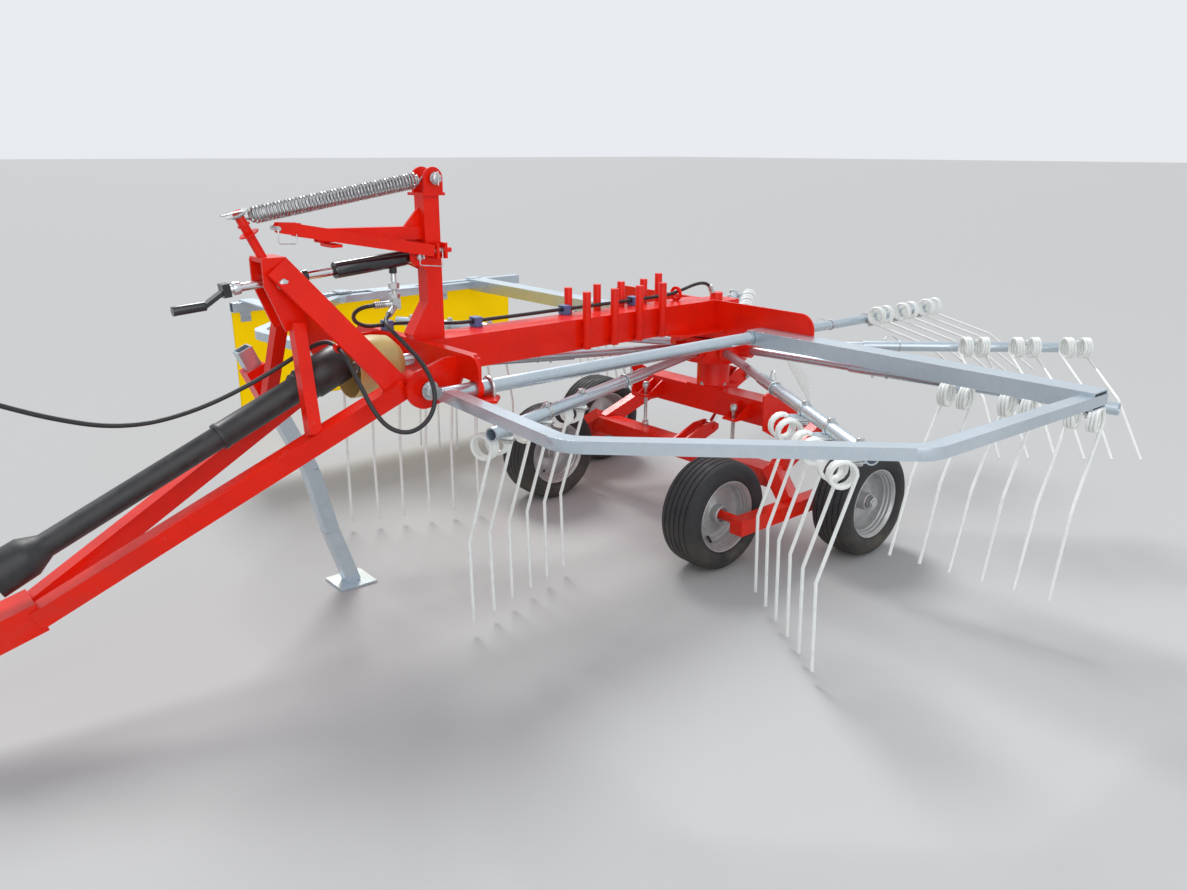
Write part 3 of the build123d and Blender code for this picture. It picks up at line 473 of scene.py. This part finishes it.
def hexHead(mesh, place, axis, across, height, washer=0):
    # a hex head or nut with a low crown, and a flat washer of this radius under it
    k = nutLook
    axis = Vector(axis).normalized()
    foot = spot(*place)
    if washer:
        thick = k["washerThick"] / 1000
        coneOn(mesh, foot, axis, washer / 1000, washer / 1000, thick, k["washerSides"])
        foot = foot + axis * thick
    corner = across / 2 / math.cos(math.pi / 6) / 1000
    coneOn(mesh, foot, axis, corner, corner, height / 1000, 6)
    crownFoot = foot + axis * ((height - k["crownSink"]) / 1000)
    coneOn(mesh, crownFoot, axis, corner * k["crownLow"], corner * k["crownTop"], k["crownHeight"] / 1000,
           k["crownSides"])


def plainRod(mesh, start, end, radius, sides=20):
    start, end = spot(*start), spot(*end)
    way = end - start
    coneOn(mesh, start, way.normalized(), radius / 1000, radius / 1000, way.length, sides)


def tubeAlong(mesh, points, radius, sides):
    # a round wire in straight runs, in metres: a ring is extruded to each point and turned square to the bend
    def rim(ring):
        edges = (edge for v in ring for edge in v.link_edges if edge.other_vert(v) in ring)
        return list(dict.fromkeys(edges))    # each edge once, in the same order each run

    heading = (points[1] - points[0]).normalized()
    ring = bmesh.ops.create_circle(mesh, cap_ends=True, segments=sides, radius=radius)["verts"]
    bmesh.ops.rotate(mesh, verts=ring, cent=(0, 0, 0), matrix=turnFromUp(heading))
    bmesh.ops.translate(mesh, verts=ring, vec=points[0])
    for i in range(1, len(points)):
        grown = bmesh.ops.extrude_edge_only(mesh, edges=rim(ring))["geom"]
        ring = [g for g in grown if isinstance(g, bmesh.types.BMVert)]
        nextWay = (points[i + 1] - points[i]).normalized() if i + 1 < len(points) else heading
        lastWay = (points[i] - points[i - 1]).normalized()
        middle = (lastWay + nextWay).normalized()
        bmesh.ops.translate(mesh, verts=ring, vec=points[i] - points[i - 1])
        bend = heading.rotation_difference(middle).to_matrix()
        bmesh.ops.rotate(mesh, verts=ring, cent=points[i], matrix=bend)
        heading = middle
    bmesh.ops.contextual_create(mesh, geom=ring + rim(ring))


def wireThrough(mesh, points, radius, sides=8):
    tubeAlong(mesh, [spot(*p) for p in points], radius / 1000, sides)


def arcPoints(centre, across, up, radius, fromTurn, toTurn, steps):
    # points of an arc in degrees in the plane of the two directions
    centre, across, up = Vector(centre), Vector(across).normalized(), Vector(up).normalized()
    turns = [math.radians(fromTurn + (toTurn - fromTurn) * i / steps) for i in range(steps + 1)]
    return [centre + (across * math.cos(turn) + up * math.sin(turn)) * radius for turn in turns]


def plateBox(mesh, centre, size):
    block = bmesh.ops.create_cube(mesh, size=1)["verts"]
    bmesh.ops.scale(mesh, verts=block, vec=[c / 1000 for c in size])
    bmesh.ops.translate(mesh, verts=block, vec=spot(*centre))


# wheels: tyres with ribs, stepped rims, valves and hub nuts
# openSide is the way that the open dish faces, and axleEnd is where the stub axle's free end lies across
wheelColumns = ("x", "y", "openSide", "axleEnd")
wheelRows = {"front_left": (460, 440, 1, 380), "front_right": (460, -440, -1, -380),
             "rear_left": (-10, 682, -1, 742), "rear_right": (-10, -682, 1, -742)}
wheelHeight = 185

# outlines are points of (across, radius); the tyre's side runs from the bead out to the shoulder
tyreLook = {"grooves": (-42, -21, 0, 21, 42), "grooveWidth": 3.4, "grooveDepth": 5, "grooveLip": 0.8,
            "grooveToe": 0.6, "crownRadius": 184.6, "crownFall": 0.045, "shoulder": (50, 181.6),
            "bead": (50, 112.4), "steps": 96,
            "side": [(56, 113.5), (57.5, 116), (58, 120), (62, 124), (66, 126), (67, 129), (71, 134),
                     (73.2, 142), (73.8, 150), (73.2, 153), (73.6, 156), (71.5, 163), (67, 171), (60, 177.6),
                     (56, 179.8)]}
# the seat under the tyre, then the stepped well, disc and hub of the open side, then the same of the back
rimLook = {
    "seat": [(-63.5, 117.5), (-63.5, 119), (-61, 121), (-58.5, 119.5), (-57, 115), (-50, 111.8), (50, 111.8),
             (57, 115), (58.5, 119.5), (61, 121), (63.5, 119), (63.5, 117.5)],
    "openSide": [(62, 115), (57, 112.2), (54, 109.2), (46, 108.4), (42.5, 104.8), (34, 104), (30.5, 100.4),
                 (20, 99.6), (13, 97), (8, 93), (4, 86), (2, 74), (3, 62), (6, 50), (8, 42), (10, 34),
                 (12, 31), (38, 30), (40, 28), (40, 24), (31, 23.6), (31, 15.8)],
    "back": [(-31, 15.8), (-31, 23.6), (-40, 24), (-40, 28), (-38, 30), (2, 31), (5, 34), (3, 42), (1, 50),
             (-2, 62), (-3, 74), (-1, 86), (0, 92), (-8, 97), (-20, 99.6), (-30.5, 100.4), (-34, 104),
             (-42.5, 104.8), (-46, 108.4), (-54, 109.2), (-57, 112.2), (-62, 115)],
    "steps": 64}
# both ends of the valve's two runs, from the wheel's centre: ahead, to the open side, up
valveLook = {"radius": 4.5, "runs": [((30, 8, -78), (38, 30, -88)), ((30, -8, -78), (34, -12, -80))]}
hubNutLook = {"capRadius": 15.6, "capSides": 28, "capFrom": 38, "capPast": 0.8, "nutAt": 42, "across": 40,
              "height": 12, "washer": 23}


def tyreOutline(t):
    across, radius = t["shoulder"]
    crown = [(-across, radius)]
    for g in t["grooves"]:
        top = t["crownRadius"] - abs(g) * t["crownFall"]
        floor = top - t["grooveDepth"]
        lip = t["grooveWidth"] / 2 + t["grooveLip"]
        toe = t["grooveWidth"] / 2 - t["grooveToe"]
        crown += [(g - lip, top), (g - toe, floor), (g + toe, floor), (g + lip, top)]
    crown += [(across, radius)]
    seat, beadRadius = t["bead"]
    left = [(-a, r) for a, r in t["side"]]
    return left + crown + t["side"][::-1] + [(seat, beadRadius), (-seat, beadRadius)]


for place, row in wheelRows.items():
    w = dict(zip(wheelColumns, row))
    wheel = Vector((w["x"], w["y"], wheelHeight))
    body = f"wheel_{place}"
    mesh = bmesh.new()
    turnedRing(mesh, tyreOutline(tyreLook), spot(*wheel), (0, 1, 0), tyreLook["steps"])
    addPiece(f"ribbedTyre_{place}", mesh, "tyreRubber", body, replaced=(f"tyre_{place}",))
    mesh = bmesh.new()
    rimOutline = [(across * w["openSide"], radius) for part in ("seat", "openSide", "back")
                  for across, radius in rimLook[part]]
    turnedRing(mesh, rimOutline, spot(*wheel), (0, 1, 0), rimLook["steps"])
    addPiece(f"deepRim_{place}", mesh, "silver", body, replaced=(f"rim_{place}",))
    mesh = bmesh.new()
    for run in valveLook["runs"]:
        start, end = (wheel + Vector((ahead, out * w["openSide"], up)) for ahead, out, up in run)
        plainRod(mesh, start, end, valveLook["radius"])
    addPiece(f"valve_{place}", mesh, "blackPlastic", body)
    # a cap and a nut close the free end of the stub axle
    mesh = bmesh.new()
    h, away = hubNutLook, math.copysign(1, w["axleEnd"] - w["y"])
    plainRod(mesh, (w["x"], w["y"] + h["capFrom"] * away, wheelHeight),
             (w["x"], w["axleEnd"] + h["capPast"] * away, wheelHeight), h["capRadius"], h["capSides"])
    hexHead(mesh, (w["x"], w["y"] + h["nutAt"] * away, wheelHeight), (0, away, 0), h["across"], h["height"],
            h["washer"])
    addPiece(f"hubNut_{place}", mesh, "zinc", "lower_frame")
print("wheels turned")


# double-coil tines, one shape laid on each arm
# places on an arm are (along the arm, sideways, up) from the rotor's axis and the arm's own line
tineLook = {"rows": (1326, 1140, 954), "wire": 5.0, "sides": 8, "coilRadius": 34, "turns": 3.25,
            "coilPitch": 9.9, "stepsPerTurn": 16, "coil": (-56, -52), "gap": 14, "afterCoil": 40,
            "beforeKnee": 22, "knee": (46, -107, -336), "aboveTip": 228, "tip": (48, -100, -586),
            # the wire that joins both coils runs under the arm and round its bolt: half of it, from a coil in
            "bridge": [(14, -56, -18), (13, -38, -21), (11, -20, -24.6), (8, 4, -24.6), (5.6, 11, -24.6),
                       (0, 14, -24.6)]}
armHeight = 616
armColumns = ("azimuth", "roll")
armRows = {1: (18.2, 0), 2: (58.2, 0), 3: (98.2, -25), 4: (138.2, -53), 5: (178.2, -62), 6: (218.2, -33),
           7: (258.2, -8), 8: (298.2, 0), 9: (338.2, 0)}


def tineShape(t):
    mesh = bmesh.new()
    radius, perTurn = t["wire"] / 1000, t["stepsPerTurn"]
    for row in t["rows"]:
        for side in (1, -1):
            points = []
            for i in range(int(t["turns"] * perTurn) + 1):
                turned = math.tau * i / perTurn
                points.append(Vector((row + side * (t["gap"] + t["coilPitch"] * i / perTurn),
                                      t["coil"][0] + t["coilRadius"] * math.sin(turned),
                                      t["coil"][1] + t["coilRadius"] * math.cos(turned))))
            knee, tip = (Vector((row + side * p[0], p[1], p[2])) for p in (t["knee"], t["tip"]))
            down = (knee - points[-1]).normalized()
            points += [points[-1] + down * t["afterCoil"], knee - down * t["beforeKnee"], knee,
                       tip + (knee - tip).normalized() * t["aboveTip"], tip]
            tubeAlong(mesh, [p / 1000 for p in points], radius, t["sides"])
        bridge = t["bridge"] + [(-along, across, up) for along, across, up in t["bridge"][-2::-1]]
        tubeAlong(mesh, [Vector((row + along, across, up)) / 1000 for along, across, up in bridge], radius,
                  t["sides"])
    return mesh


def layOnArm(mesh, row):
    # from the arm's own line, with the rotor's axis at the origin, to the arm's place on the rotor
    arm = dict(zip(armColumns, row))
    turn = Matrix.Rotation(math.radians(arm["azimuth"]), 4, "Z")
    roll = Matrix.Rotation(math.radians(arm["roll"]), 4, "X")
    lay = Matrix.Translation(spot(0, 0, armHeight)) @ turn @ roll
    bmesh.ops.transform(mesh, matrix=lay, verts=mesh.verts)
    return mesh


for number, row in armRows.items():
    mesh = layOnArm(tineShape(tineLook), row)
    addPiece(f"springTines_{number}", mesh, "cream", "rotor", replaced=(f"tines_{number}",))
print("tines wound")


# bolt heads and nuts; washer is a radius, 0 for none
boltColumns = ("place", "axis", "across", "height", "washer")
boltRows = {
    "main_frame": [
        ((1222, 44, 1247), (0, 1, 0), 26, 10, 17), ((1222, -44, 1247), (0, -1, 0), 26, 12, 17),
        ((1278, 30.5, 1034), (0, 1, 0), 17, 8, 0), ((1278, -36, 1034), (0, -1, 0), 26, 12, 16),
        ((24, 0, 816), (0, 0, 1), 20, 5, 0),
        ((57, 88, 700), (0, 0, 1), 19, 8, 13), ((57, -88, 700), (0, 0, 1), 19, 8, 13),
        ((-12, 88, 700), (0, 0, 1), 19, 8, 13), ((-12, -88, 700), (0, 0, 1), 19, 8, 13),
        ((1400, 264, 713), (0, 1, 0), 36, 8, 26), ((1400, -264, 713), (0, -1, 0), 36, 8, 26),
        ((1238, 320, 675), (0, 0, -1), 19, 9, 12), ((1238, 280, 675), (0, 0, -1), 19, 9, 12),
        ((1238, -320, 675), (0, 0, -1), 19, 9, 12), ((1238, -280, 675), (0, 0, -1), 19, 9, 12),
        ((0, 54, 471), (0, 0, 1), 18, 8, 12), ((0, -54, 471), (0, 0, 1), 18, 8, 12),
        ((54, 0, 471), (0, 0, 1), 18, 8, 12), ((-56, 0, 471), (0, 0, 1), 18, 8, 12),
        ((-125, 452, 365), (0, 1, 0), 22, 9, 18), ((-125, -452, 365), (0, -1, 0), 22, 9, 18),
        ((-158, 36, 482), (0, 1, 0), 20, 8, 14), ((-158, -36, 482), (0, -1, 0), 20, 8, 14),
    ],
    "drawbar_frame": [
        ((1690, 56, 998), (0, 1, 0), 24, 9, 16), ((1690, -56, 998), (0, -1, 0), 24, 9, 16),
        ((2534, 36, 208), (1, 0, 0), 22, 10, 15), ((2534, -36, 208), (1, 0, 0), 22, 10, 15),
        ((2534, 36, 264), (1, 0, 0), 22, 10, 15), ((2534, -36, 264), (1, 0, 0), 22, 10, 15),
    ],
    "lower_frame": [
        ((135, 228, 287), (0, 0, 1), 20, 8, 0), ((135, -228, 287), (0, 0, 1), 20, 8, 0),
        ((135, 228, 442), (0, 0, 1), 20, 9, 0), ((135, -228, 442), (0, 0, 1), 20, 9, 0),
    ],
}
for body, rows in boltRows.items():
    mesh = bmesh.new()
    for row in rows:
        hexHead(mesh, **dict(zip(boltColumns, row)))
    addPiece(f"boltHeads_{body}", mesh, "zinc", body)

# square caps on the ends of the rockers' tubes
capLook = {"size": (3, 50, 50), "ends": (483.5, -31.5), "y": 561, "z": 172}
mesh = bmesh.new()
for side in (1, -1):
    for x in capLook["ends"]:
        plateBox(mesh, (x, side * capLook["y"], capLook["z"]), capLook["size"])
addPiece("rockerCaps", mesh, "orangeRed", "lower_frame")

# collars where the guards' brace tubes meet their rear tubes
collarLook = {"outline": bandOutline(4, 20.2, 24), "x": 157, "y": 300, "z": 706, "steps": 28}
for place, side in (("left", 1), ("right", -1)):
    mesh = bmesh.new()
    turnedRing(mesh, collarLook["outline"], spot(collarLook["x"], side * collarLook["y"], collarLook["z"]),
               (1, 0, 0), collarLook["steps"])
    addPiece(f"braceCollar_{place}", mesh, "galvanised", f"{place}_guard")
print("bolts set")


# U-bolts over the brace tubes
uBolt = {"x": 1238, "y": 300, "top": 706, "foot": 662, "radius": 25, "wire": 5, "steps": 12}
for place, side in (("left", 1), ("right", -1)):
    bow = arcPoints((uBolt["x"], side * uBolt["y"], uBolt["top"]), (0, side, 0), (0, 0, 1), uBolt["radius"],
                    0, 180, uBolt["steps"])
    feet = [(uBolt["x"], side * (uBolt["y"] + uBolt["radius"] * out), uBolt["foot"]) for out in (1, -1)]
    mesh = bmesh.new()
    wireThrough(mesh, [feet[0], *bow, feet[1]], uBolt["wire"])
    addPiece(f"uBolt_{place}", mesh, "zinc", "main_frame")


# clips, pins and rings: lock bar, mast, tower and tilt cylinder
barAlong, tiltAlong = (57, 0, 120), (418, 0, -37)    # the hook bar's direction and the tilt cylinder's

# bent wires by radius, sides and points, then pins by both ends and radius
mastClipWires = [
    (1.8, 8, [(1290, 50, 1064), (1290, 57, 1056), (1291, 58, 1017), (1286, 58, 1014), (1222, 58, 1007),
              (1217, 58, 1010), (1216, 57, 1052)]),
    (3, 8, [(1270, 45, 1030), (1270, 45, 1062)]),
    (6, 12, [(1690, 24, 1134), (1690, 66, 1134)]),
    (1.7, 8, [(1691, 62, 1136), (1692, 65, 1130), (1693, 65, 1101), (1689, 65, 1097), (1650, 65, 1095),
              (1646, 65, 1098), (1645, 65, 1118)]),
    (2.4, 8, [(1222, 60, 1228), (1222, 60, 1266)]),
]
mastPins = [((1210.5, 45, 1050), (1227.5, 45, 1050), 8), ((1236, 45, 1050), (1266, 45, 1050), 7.4)]
mesh = bmesh.new()
for radius, sides, points in mastClipWires:
    wireThrough(mesh, points, radius, sides)
for start, end, radius in mastPins:
    plainRod(mesh, start, end, radius)
addPiece("mastClips", mesh, "zinc", "main_frame")

# a washer on the hook bar, held by a spring clip
barClipLook = {"washer": bandOutline(1.5, 12.3, 29), "at": (1765, 0, 1170.4), "steps": 28, "wire": 2,
               "clip": [(1748, -4, 1177), (1798, 8, 1170), (1812, 15, 1168), (1810, 23, 1167.5),
                        (1796, 22, 1169.5), (1780, 15, 1173), (1766, 16, 1175.5), (1756, 20, 1177)]}
mesh = bmesh.new()
turnedRing(mesh, barClipLook["washer"], spot(*barClipLook["at"]), barAlong, barClipLook["steps"])
wireThrough(mesh, barClipLook["clip"], barClipLook["wire"])
addPiece("barClip", mesh, "zinc", "drawbar_frame")

ringColumns = ("outline", "place", "axis", "steps", "finish", "body", "slotName")
ringRows = {
    "barFlange": (bandOutline(2, 12.3, 26, 1, 1), (1741, 0, 1120), barAlong, 32,
                  "orangeRed", "drawbar_frame", "orange_red"),
    "rodRing": ([(-7, 12.5), (-7, 15.5), (-6, 16.5), (6, 16.5), (7, 15.5), (7, 11.2)], (1606, 0, 1005),
                tiltAlong, 28, "blackPaint", "tilt_cylinder_rod", "black_paint"),
    "rodSleeve": ([(-9, 11.2), (-9, 14.5), (8, 14.5), (9, 13.5), (9, 11.2)], (1622, 0, 1003.6),
                  tiltAlong, 28, "zinc", "tilt_cylinder_rod", "zinc"),
}
for name, row in ringRows.items():
    ring = dict(zip(ringColumns, row))
    mesh = bmesh.new()
    turnedRing(mesh, ring["outline"], spot(*ring["place"]), ring["axis"], ring["steps"])
    addPiece(name, mesh, ring["finish"], ring["body"])

portNutLook = {"x": 1345, "bottoms": (949, 922.5), "across": 27, "heights": (16, 12)}
mesh = bmesh.new()
for bottom, height in zip(portNutLook["bottoms"], portNutLook["heights"]):
    hexHead(mesh, (portNutLook["x"], 0, bottom), (0, 0, 1), portNutLook["across"], height)
addPiece("portNuts", mesh, "zinc", "tilt_cylinder_barrel")
print("pins set")


# lift spring: close coils with a hooked eye at each end, not attached to either body
# an eye is its centre, its radius, where it starts and ends in degrees, and its steps
springLook = {"front": (1738, 0, 1163), "rear": (1250, 0, 1242.4), "radius": 19.6, "wire": 3.15, "turns": 50,
              "stepsPerTurn": 14, "endShare": 0.35, "endTurns": 1.5,
              "frontEye": ((1763, 0, 1165.5), 15.4, 200, 540, 20),
              "rearEye": ((1222, 0, 1247), 12.6, 20, 340, 18)}


def windSpring(k):
    front, rear = Vector(k["front"]), Vector(k["rear"])
    across = Vector((0, 1, 0))
    up = (rear - front).normalized().cross(across)
    count = k["turns"] * k["stepsPerTurn"]
    coil = []
    for i in range(count + 1):
        turn = math.tau * i / k["stepsPerTurn"]
        fromEnd = min(i, count - i) / (k["endTurns"] * k["stepsPerTurn"])
        swell = min(1, k["endShare"] + (1 - k["endShare"]) * fromEnd)
        coil.append(front + (rear - front) * i / count
                    + (across * math.sin(turn) + up * math.cos(turn)) * k["radius"] * swell)
    outward = -across.cross(Vector(barAlong).normalized())
    eye, radius, start, end, steps = k["frontEye"]
    frontLoop = arcPoints(eye, outward, across, radius, start, end, steps)
    eye, radius, start, end, steps = k["rearEye"]
    rearLoop = arcPoints(eye, (1, 0, 0), (0, 0, 1), radius, start, end, steps)
    mesh = bmesh.new()
    wireThrough(mesh, frontLoop + coil + rearLoop, k["wire"])
    return mesh


springPiece = addPiece("liftSpring", windSpring(springLook), "springSteel", None,
                       replaced=("lift_spring",))
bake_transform(springPiece)
print("spring wound")


# hoses: the lines follow the same route points as the solids
hoseLook = {"radius": 6, "resolution": 8, "sides": 12, "bevelSteps": 3}
beamHoseRoute = [
    (1379.3, 0, 907), (1410, -1, 907.5), (1434, -16, 903), (1444, -44, 890), (1438, -78, 868),
    (1414, -112, 846), (1380, -140, 830), (1352, -159, 820), (1316, -168, 817), (1246, -168, 817.4),
    (1192, -144, 816), (1142, -98, 815), (1094, -50.6, 816.7), (1010, -50, 817.2), (860, -49, 816.6),
    (720, -50.5, 817.4), (560, -50, 816.6), (400, -49.6, 817.2), (350, -49, 817), (280, -41, 820),
    (210, -31, 823.5), (150, -24, 838), (104, -16, 852), (62, -8, 856), (34, -2, 842), (24, 0, 816.3),
]
loopHoseRoute = [
    (1368, 22.9, 891.6), (1388, 42, 885), (1416, 70, 877), (1432, 112, 866), (1430, 162, 845),
    (1422, 215, 815), (1418, 270, 784), (1421, 318, 742), (1433, 342, 694), (1462, 342, 650),
    (1504, 322, 626), (1544, 292, 640), (1566, 258, 684), (1573, 216, 738), (1576, 174, 781),
    (1575.4, 137, 812.8), (1574, 98, 824),
]
feedHoseRoute = [
    (1574, 97.8, 824.06), (1574, 63, 834), (1592, 36, 832), (1624, 15, 814), (1676, 4, 785), (1740, 0, 755),
    (1810, 0, 728), (1890, 0, 703), (1970, 0, 687), (2050, 0, 681), (2140, 0, 693), (2230, 0, 726),
    (2310, 0, 763), (2360, 0, 790),
]


def routeLine(name, route):
    # one open NURBS line through the route's control points
    data = bpy.data.curves.new(name, "CURVE")
    data.dimensions = "3D"
    line = data.splines.new("NURBS")
    line.points.add(len(route) - 1)
    for point, place in zip(line.points, route):
        point.co = (*spot(*place), 1)
    line.order_u = 3
    line.use_endpoint_u = True
    line.resolution_u = hoseLook["resolution"]
    return data


def readLine(name, route):
    # the points of the route's own line, for a mesh tube that has to bend and for its length
    data = routeLine(name, route)
    holder = bpy.data.objects.new(name, data)
    bpy.context.scene.collection.objects.link(holder)
    bpy.context.view_layer.update()
    flat = bpy.data.meshes.new_from_object(holder)
    points = [v.co.copy() for v in flat.vertices]
    bpy.data.objects.remove(holder)
    bpy.data.curves.remove(data)
    bpy.data.meshes.remove(flat)
    return points


def lineLength(points):
    return sum((b - a).length for a, b in zip(points, points[1:]))


def hoseTube(name, route, replaced):
    points = readLine(f"{name}Line", route)
    mesh = bmesh.new()
    tubeAlong(mesh, points, hoseLook["radius"] / 1000, hoseLook["sides"])
    return addPiece(name, mesh, "hoseRubber", None, replaced=replaced), points


beamHose, beamPoints = hoseTube("beamHose", beamHoseRoute, ("beam_hose",))
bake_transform(beamHose)
loopHose, loopPoints = hoseTube("loopHose", loopHoseRoute, ("loop_hose",))
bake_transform(loopHose)
feedLine = routeLine("feedHose", feedHoseRoute)
feedLine.bevel_depth = hoseLook["radius"] / 1000
feedLine.bevel_resolution = hoseLook["bevelSteps"]
feedLine.use_fill_caps = True
feedLine.materials.append(paint["hoseRubber"])
feedHose = bpy.data.objects.new("feedHose", feedLine)
bpy.context.scene.collection.objects.link(feedHose)
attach(feedHose, "drawbar_frame")
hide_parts("feed_hose")
feedLength = lineLength(readLine("feedMeasure", feedHoseRoute))
print("hoses laid", round(lineLength(beamPoints), 3), round(lineLength(loopPoints), 3), round(feedLength, 3))


# crimp sleeves where the hoses are pressed to their fittings, as a row of rings
crimpLook = {"rings": 5, "first": 3, "pitch": 6, "outline": bandOutline(2.4, 5.5, 9.5, 1.0, 0.8), "steps": 20}
# the hose's points in order from the fitting that the sleeve stands on
for name, points, body in (("beamCrimp", beamPoints, "tilt_cylinder_barrel"),
                           ("capCrimp", beamPoints[::-1], "main_frame"),
                           ("loopCrimp", loopPoints, "tilt_cylinder_barrel")):
    mesh = bmesh.new()
    way = (points[2] - points[0]).normalized()
    for i in range(crimpLook["rings"]):
        centre = points[0] + way * ((crimpLook["first"] + crimpLook["pitch"] * i) / 1000)
        turnedRing(mesh, crimpLook["outline"], centre, way, crimpLook["steps"])
    addPiece(name, mesh, "zinc", body)
print("sleeves pressed")


# side curtain: cloth hung from the rail, slack between its holders
# a fold and the hem's wave are (length over tau, shift in radians, depth)
clothShape = {"length": 1385, "height": 444, "top": 724, "front": 1275, "y": -1489.8, "columns": 150,
              "rows": 40, "thick": 1.6, "folds": ((62, 0, 3.78), (27, 1.3, 1.35), (190, 0.6, 6.75)),
              "foldGrowth": 0.8, "lean": 10, "belly": 2.5, "hem": (120, 0.4, 4)}


def hangCloth(c):
    def wave(x, fold):
        length, shift, depth = fold
        return math.sin(x / length + shift) * depth

    mesh = bmesh.new()
    bmesh.ops.create_grid(mesh, x_segments=c["columns"], y_segments=c["rows"], size=0.5)
    for v in mesh.verts:
        x = c["front"] - c["length"] * (0.5 - v.co.x)
        down = max(0, 0.5 - v.co.y)    # 0 at the rail, 1 at the hem
        folds = sum(wave(x, fold) for fold in c["folds"]) * down ** c["foldGrowth"]
        lean = c["lean"] * down * down - c["belly"] * math.sin(math.pi * down)
        v.co = spot(x, c["y"] + folds - lean, c["top"] - c["height"] * down + wave(x, c["hem"]) * down)
    return mesh


cloth = addPiece("sideCurtain", hangCloth(clothShape), "yellowCloth", "right_guard",
                 replaced=("curtain",))
thicken = cloth.modifiers.new("clothThickness", "SOLIDIFY")
thicken.thickness = clothShape["thick"] / 1000
thicken.offset = 0

# holders with two small bolts each under the rail, and a plate on its bracket
holderLook = {"places": (1219, 895, 583, 272, -60), "plate": (44, 3, 46), "y": -1483, "z": 664,
              "boltY": -1481.4, "boltZ": 658, "boltShift": 11, "across": 9, "height": 4, "washer": 6,
              "topPlate": ((562, -1420, 723.2), (232, 66, 4))}
mesh = bmesh.new()
h = holderLook
plateBox(mesh, *h["topPlate"])
for x in h["places"]:
    plateBox(mesh, (x, h["y"], h["z"]), h["plate"])
    for side in (-1, 1):
        bolt = (x + side * h["boltShift"], h["boltY"], h["boltZ"])
        hexHead(mesh, bolt, (0, 1, 0), h["across"], h["height"], h["washer"])
addPiece("curtainHolders", mesh, "galvanised", "right_guard")
print("curtain hung")


# rotor trim: tine bolts and clamp bands in each tine row, and the arm's pin with its wire
trimLook = {"across": 19, "height": 8, "washer": 13, "top": 19, "plate": (30, 34, 4), "plateUp": -31.4,
            "under": -33.4, "band": bandOutline(7, 19.3, 22.2), "bandSteps": 24}
# a pin through the arm, a wire arch over it and the arch's ring round the tube
pinLook = {"along": 648, "from": -26, "to": 30, "radius": 4, "wire": 1.7, "archAt": 672, "archUp": 27,
           "archRadius": 24, "archSteps": 18, "ringAt": 696, "ringRadius": 21, "ringSteps": 24}


def armTrim(t, p):
    mesh = bmesh.new()
    for along in tineLook["rows"]:
        hexHead(mesh, (along, 0, t["top"]), (0, 0, 1), t["across"], t["height"], t["washer"])
        plateBox(mesh, (along, 0, t["plateUp"]), t["plate"])
        hexHead(mesh, (along, 0, t["under"]), (0, 0, -1), t["across"], t["height"])
        turnedRing(mesh, t["band"], spot(along, 0, 0), (1, 0, 0), t["bandSteps"])
    plainRod(mesh, (p["along"], 0, p["from"]), (p["along"], 0, p["to"]), p["radius"])
    wireThrough(mesh, arcPoints((p["archAt"], 0, p["archUp"]), (1, 0, 0), (0, 0, 1), p["archRadius"], 0, 180,
                                p["archSteps"]), p["wire"])
    wireThrough(mesh, arcPoints((p["ringAt"], 0, 0), (0, 1, 0), (0, 0, 1), p["ringRadius"], 0, 360,
                                p["ringSteps"]), p["wire"])
    bmesh.ops.translate(mesh, verts=mesh.verts, vec=-spot(0, 0, 0))
    return mesh


for number, row in armRows.items():
    addPiece(f"armTrim_{number}", layOnArm(armTrim(trimLook, pinLook), row), "zinc", "rotor")
print("rotor trimmed")
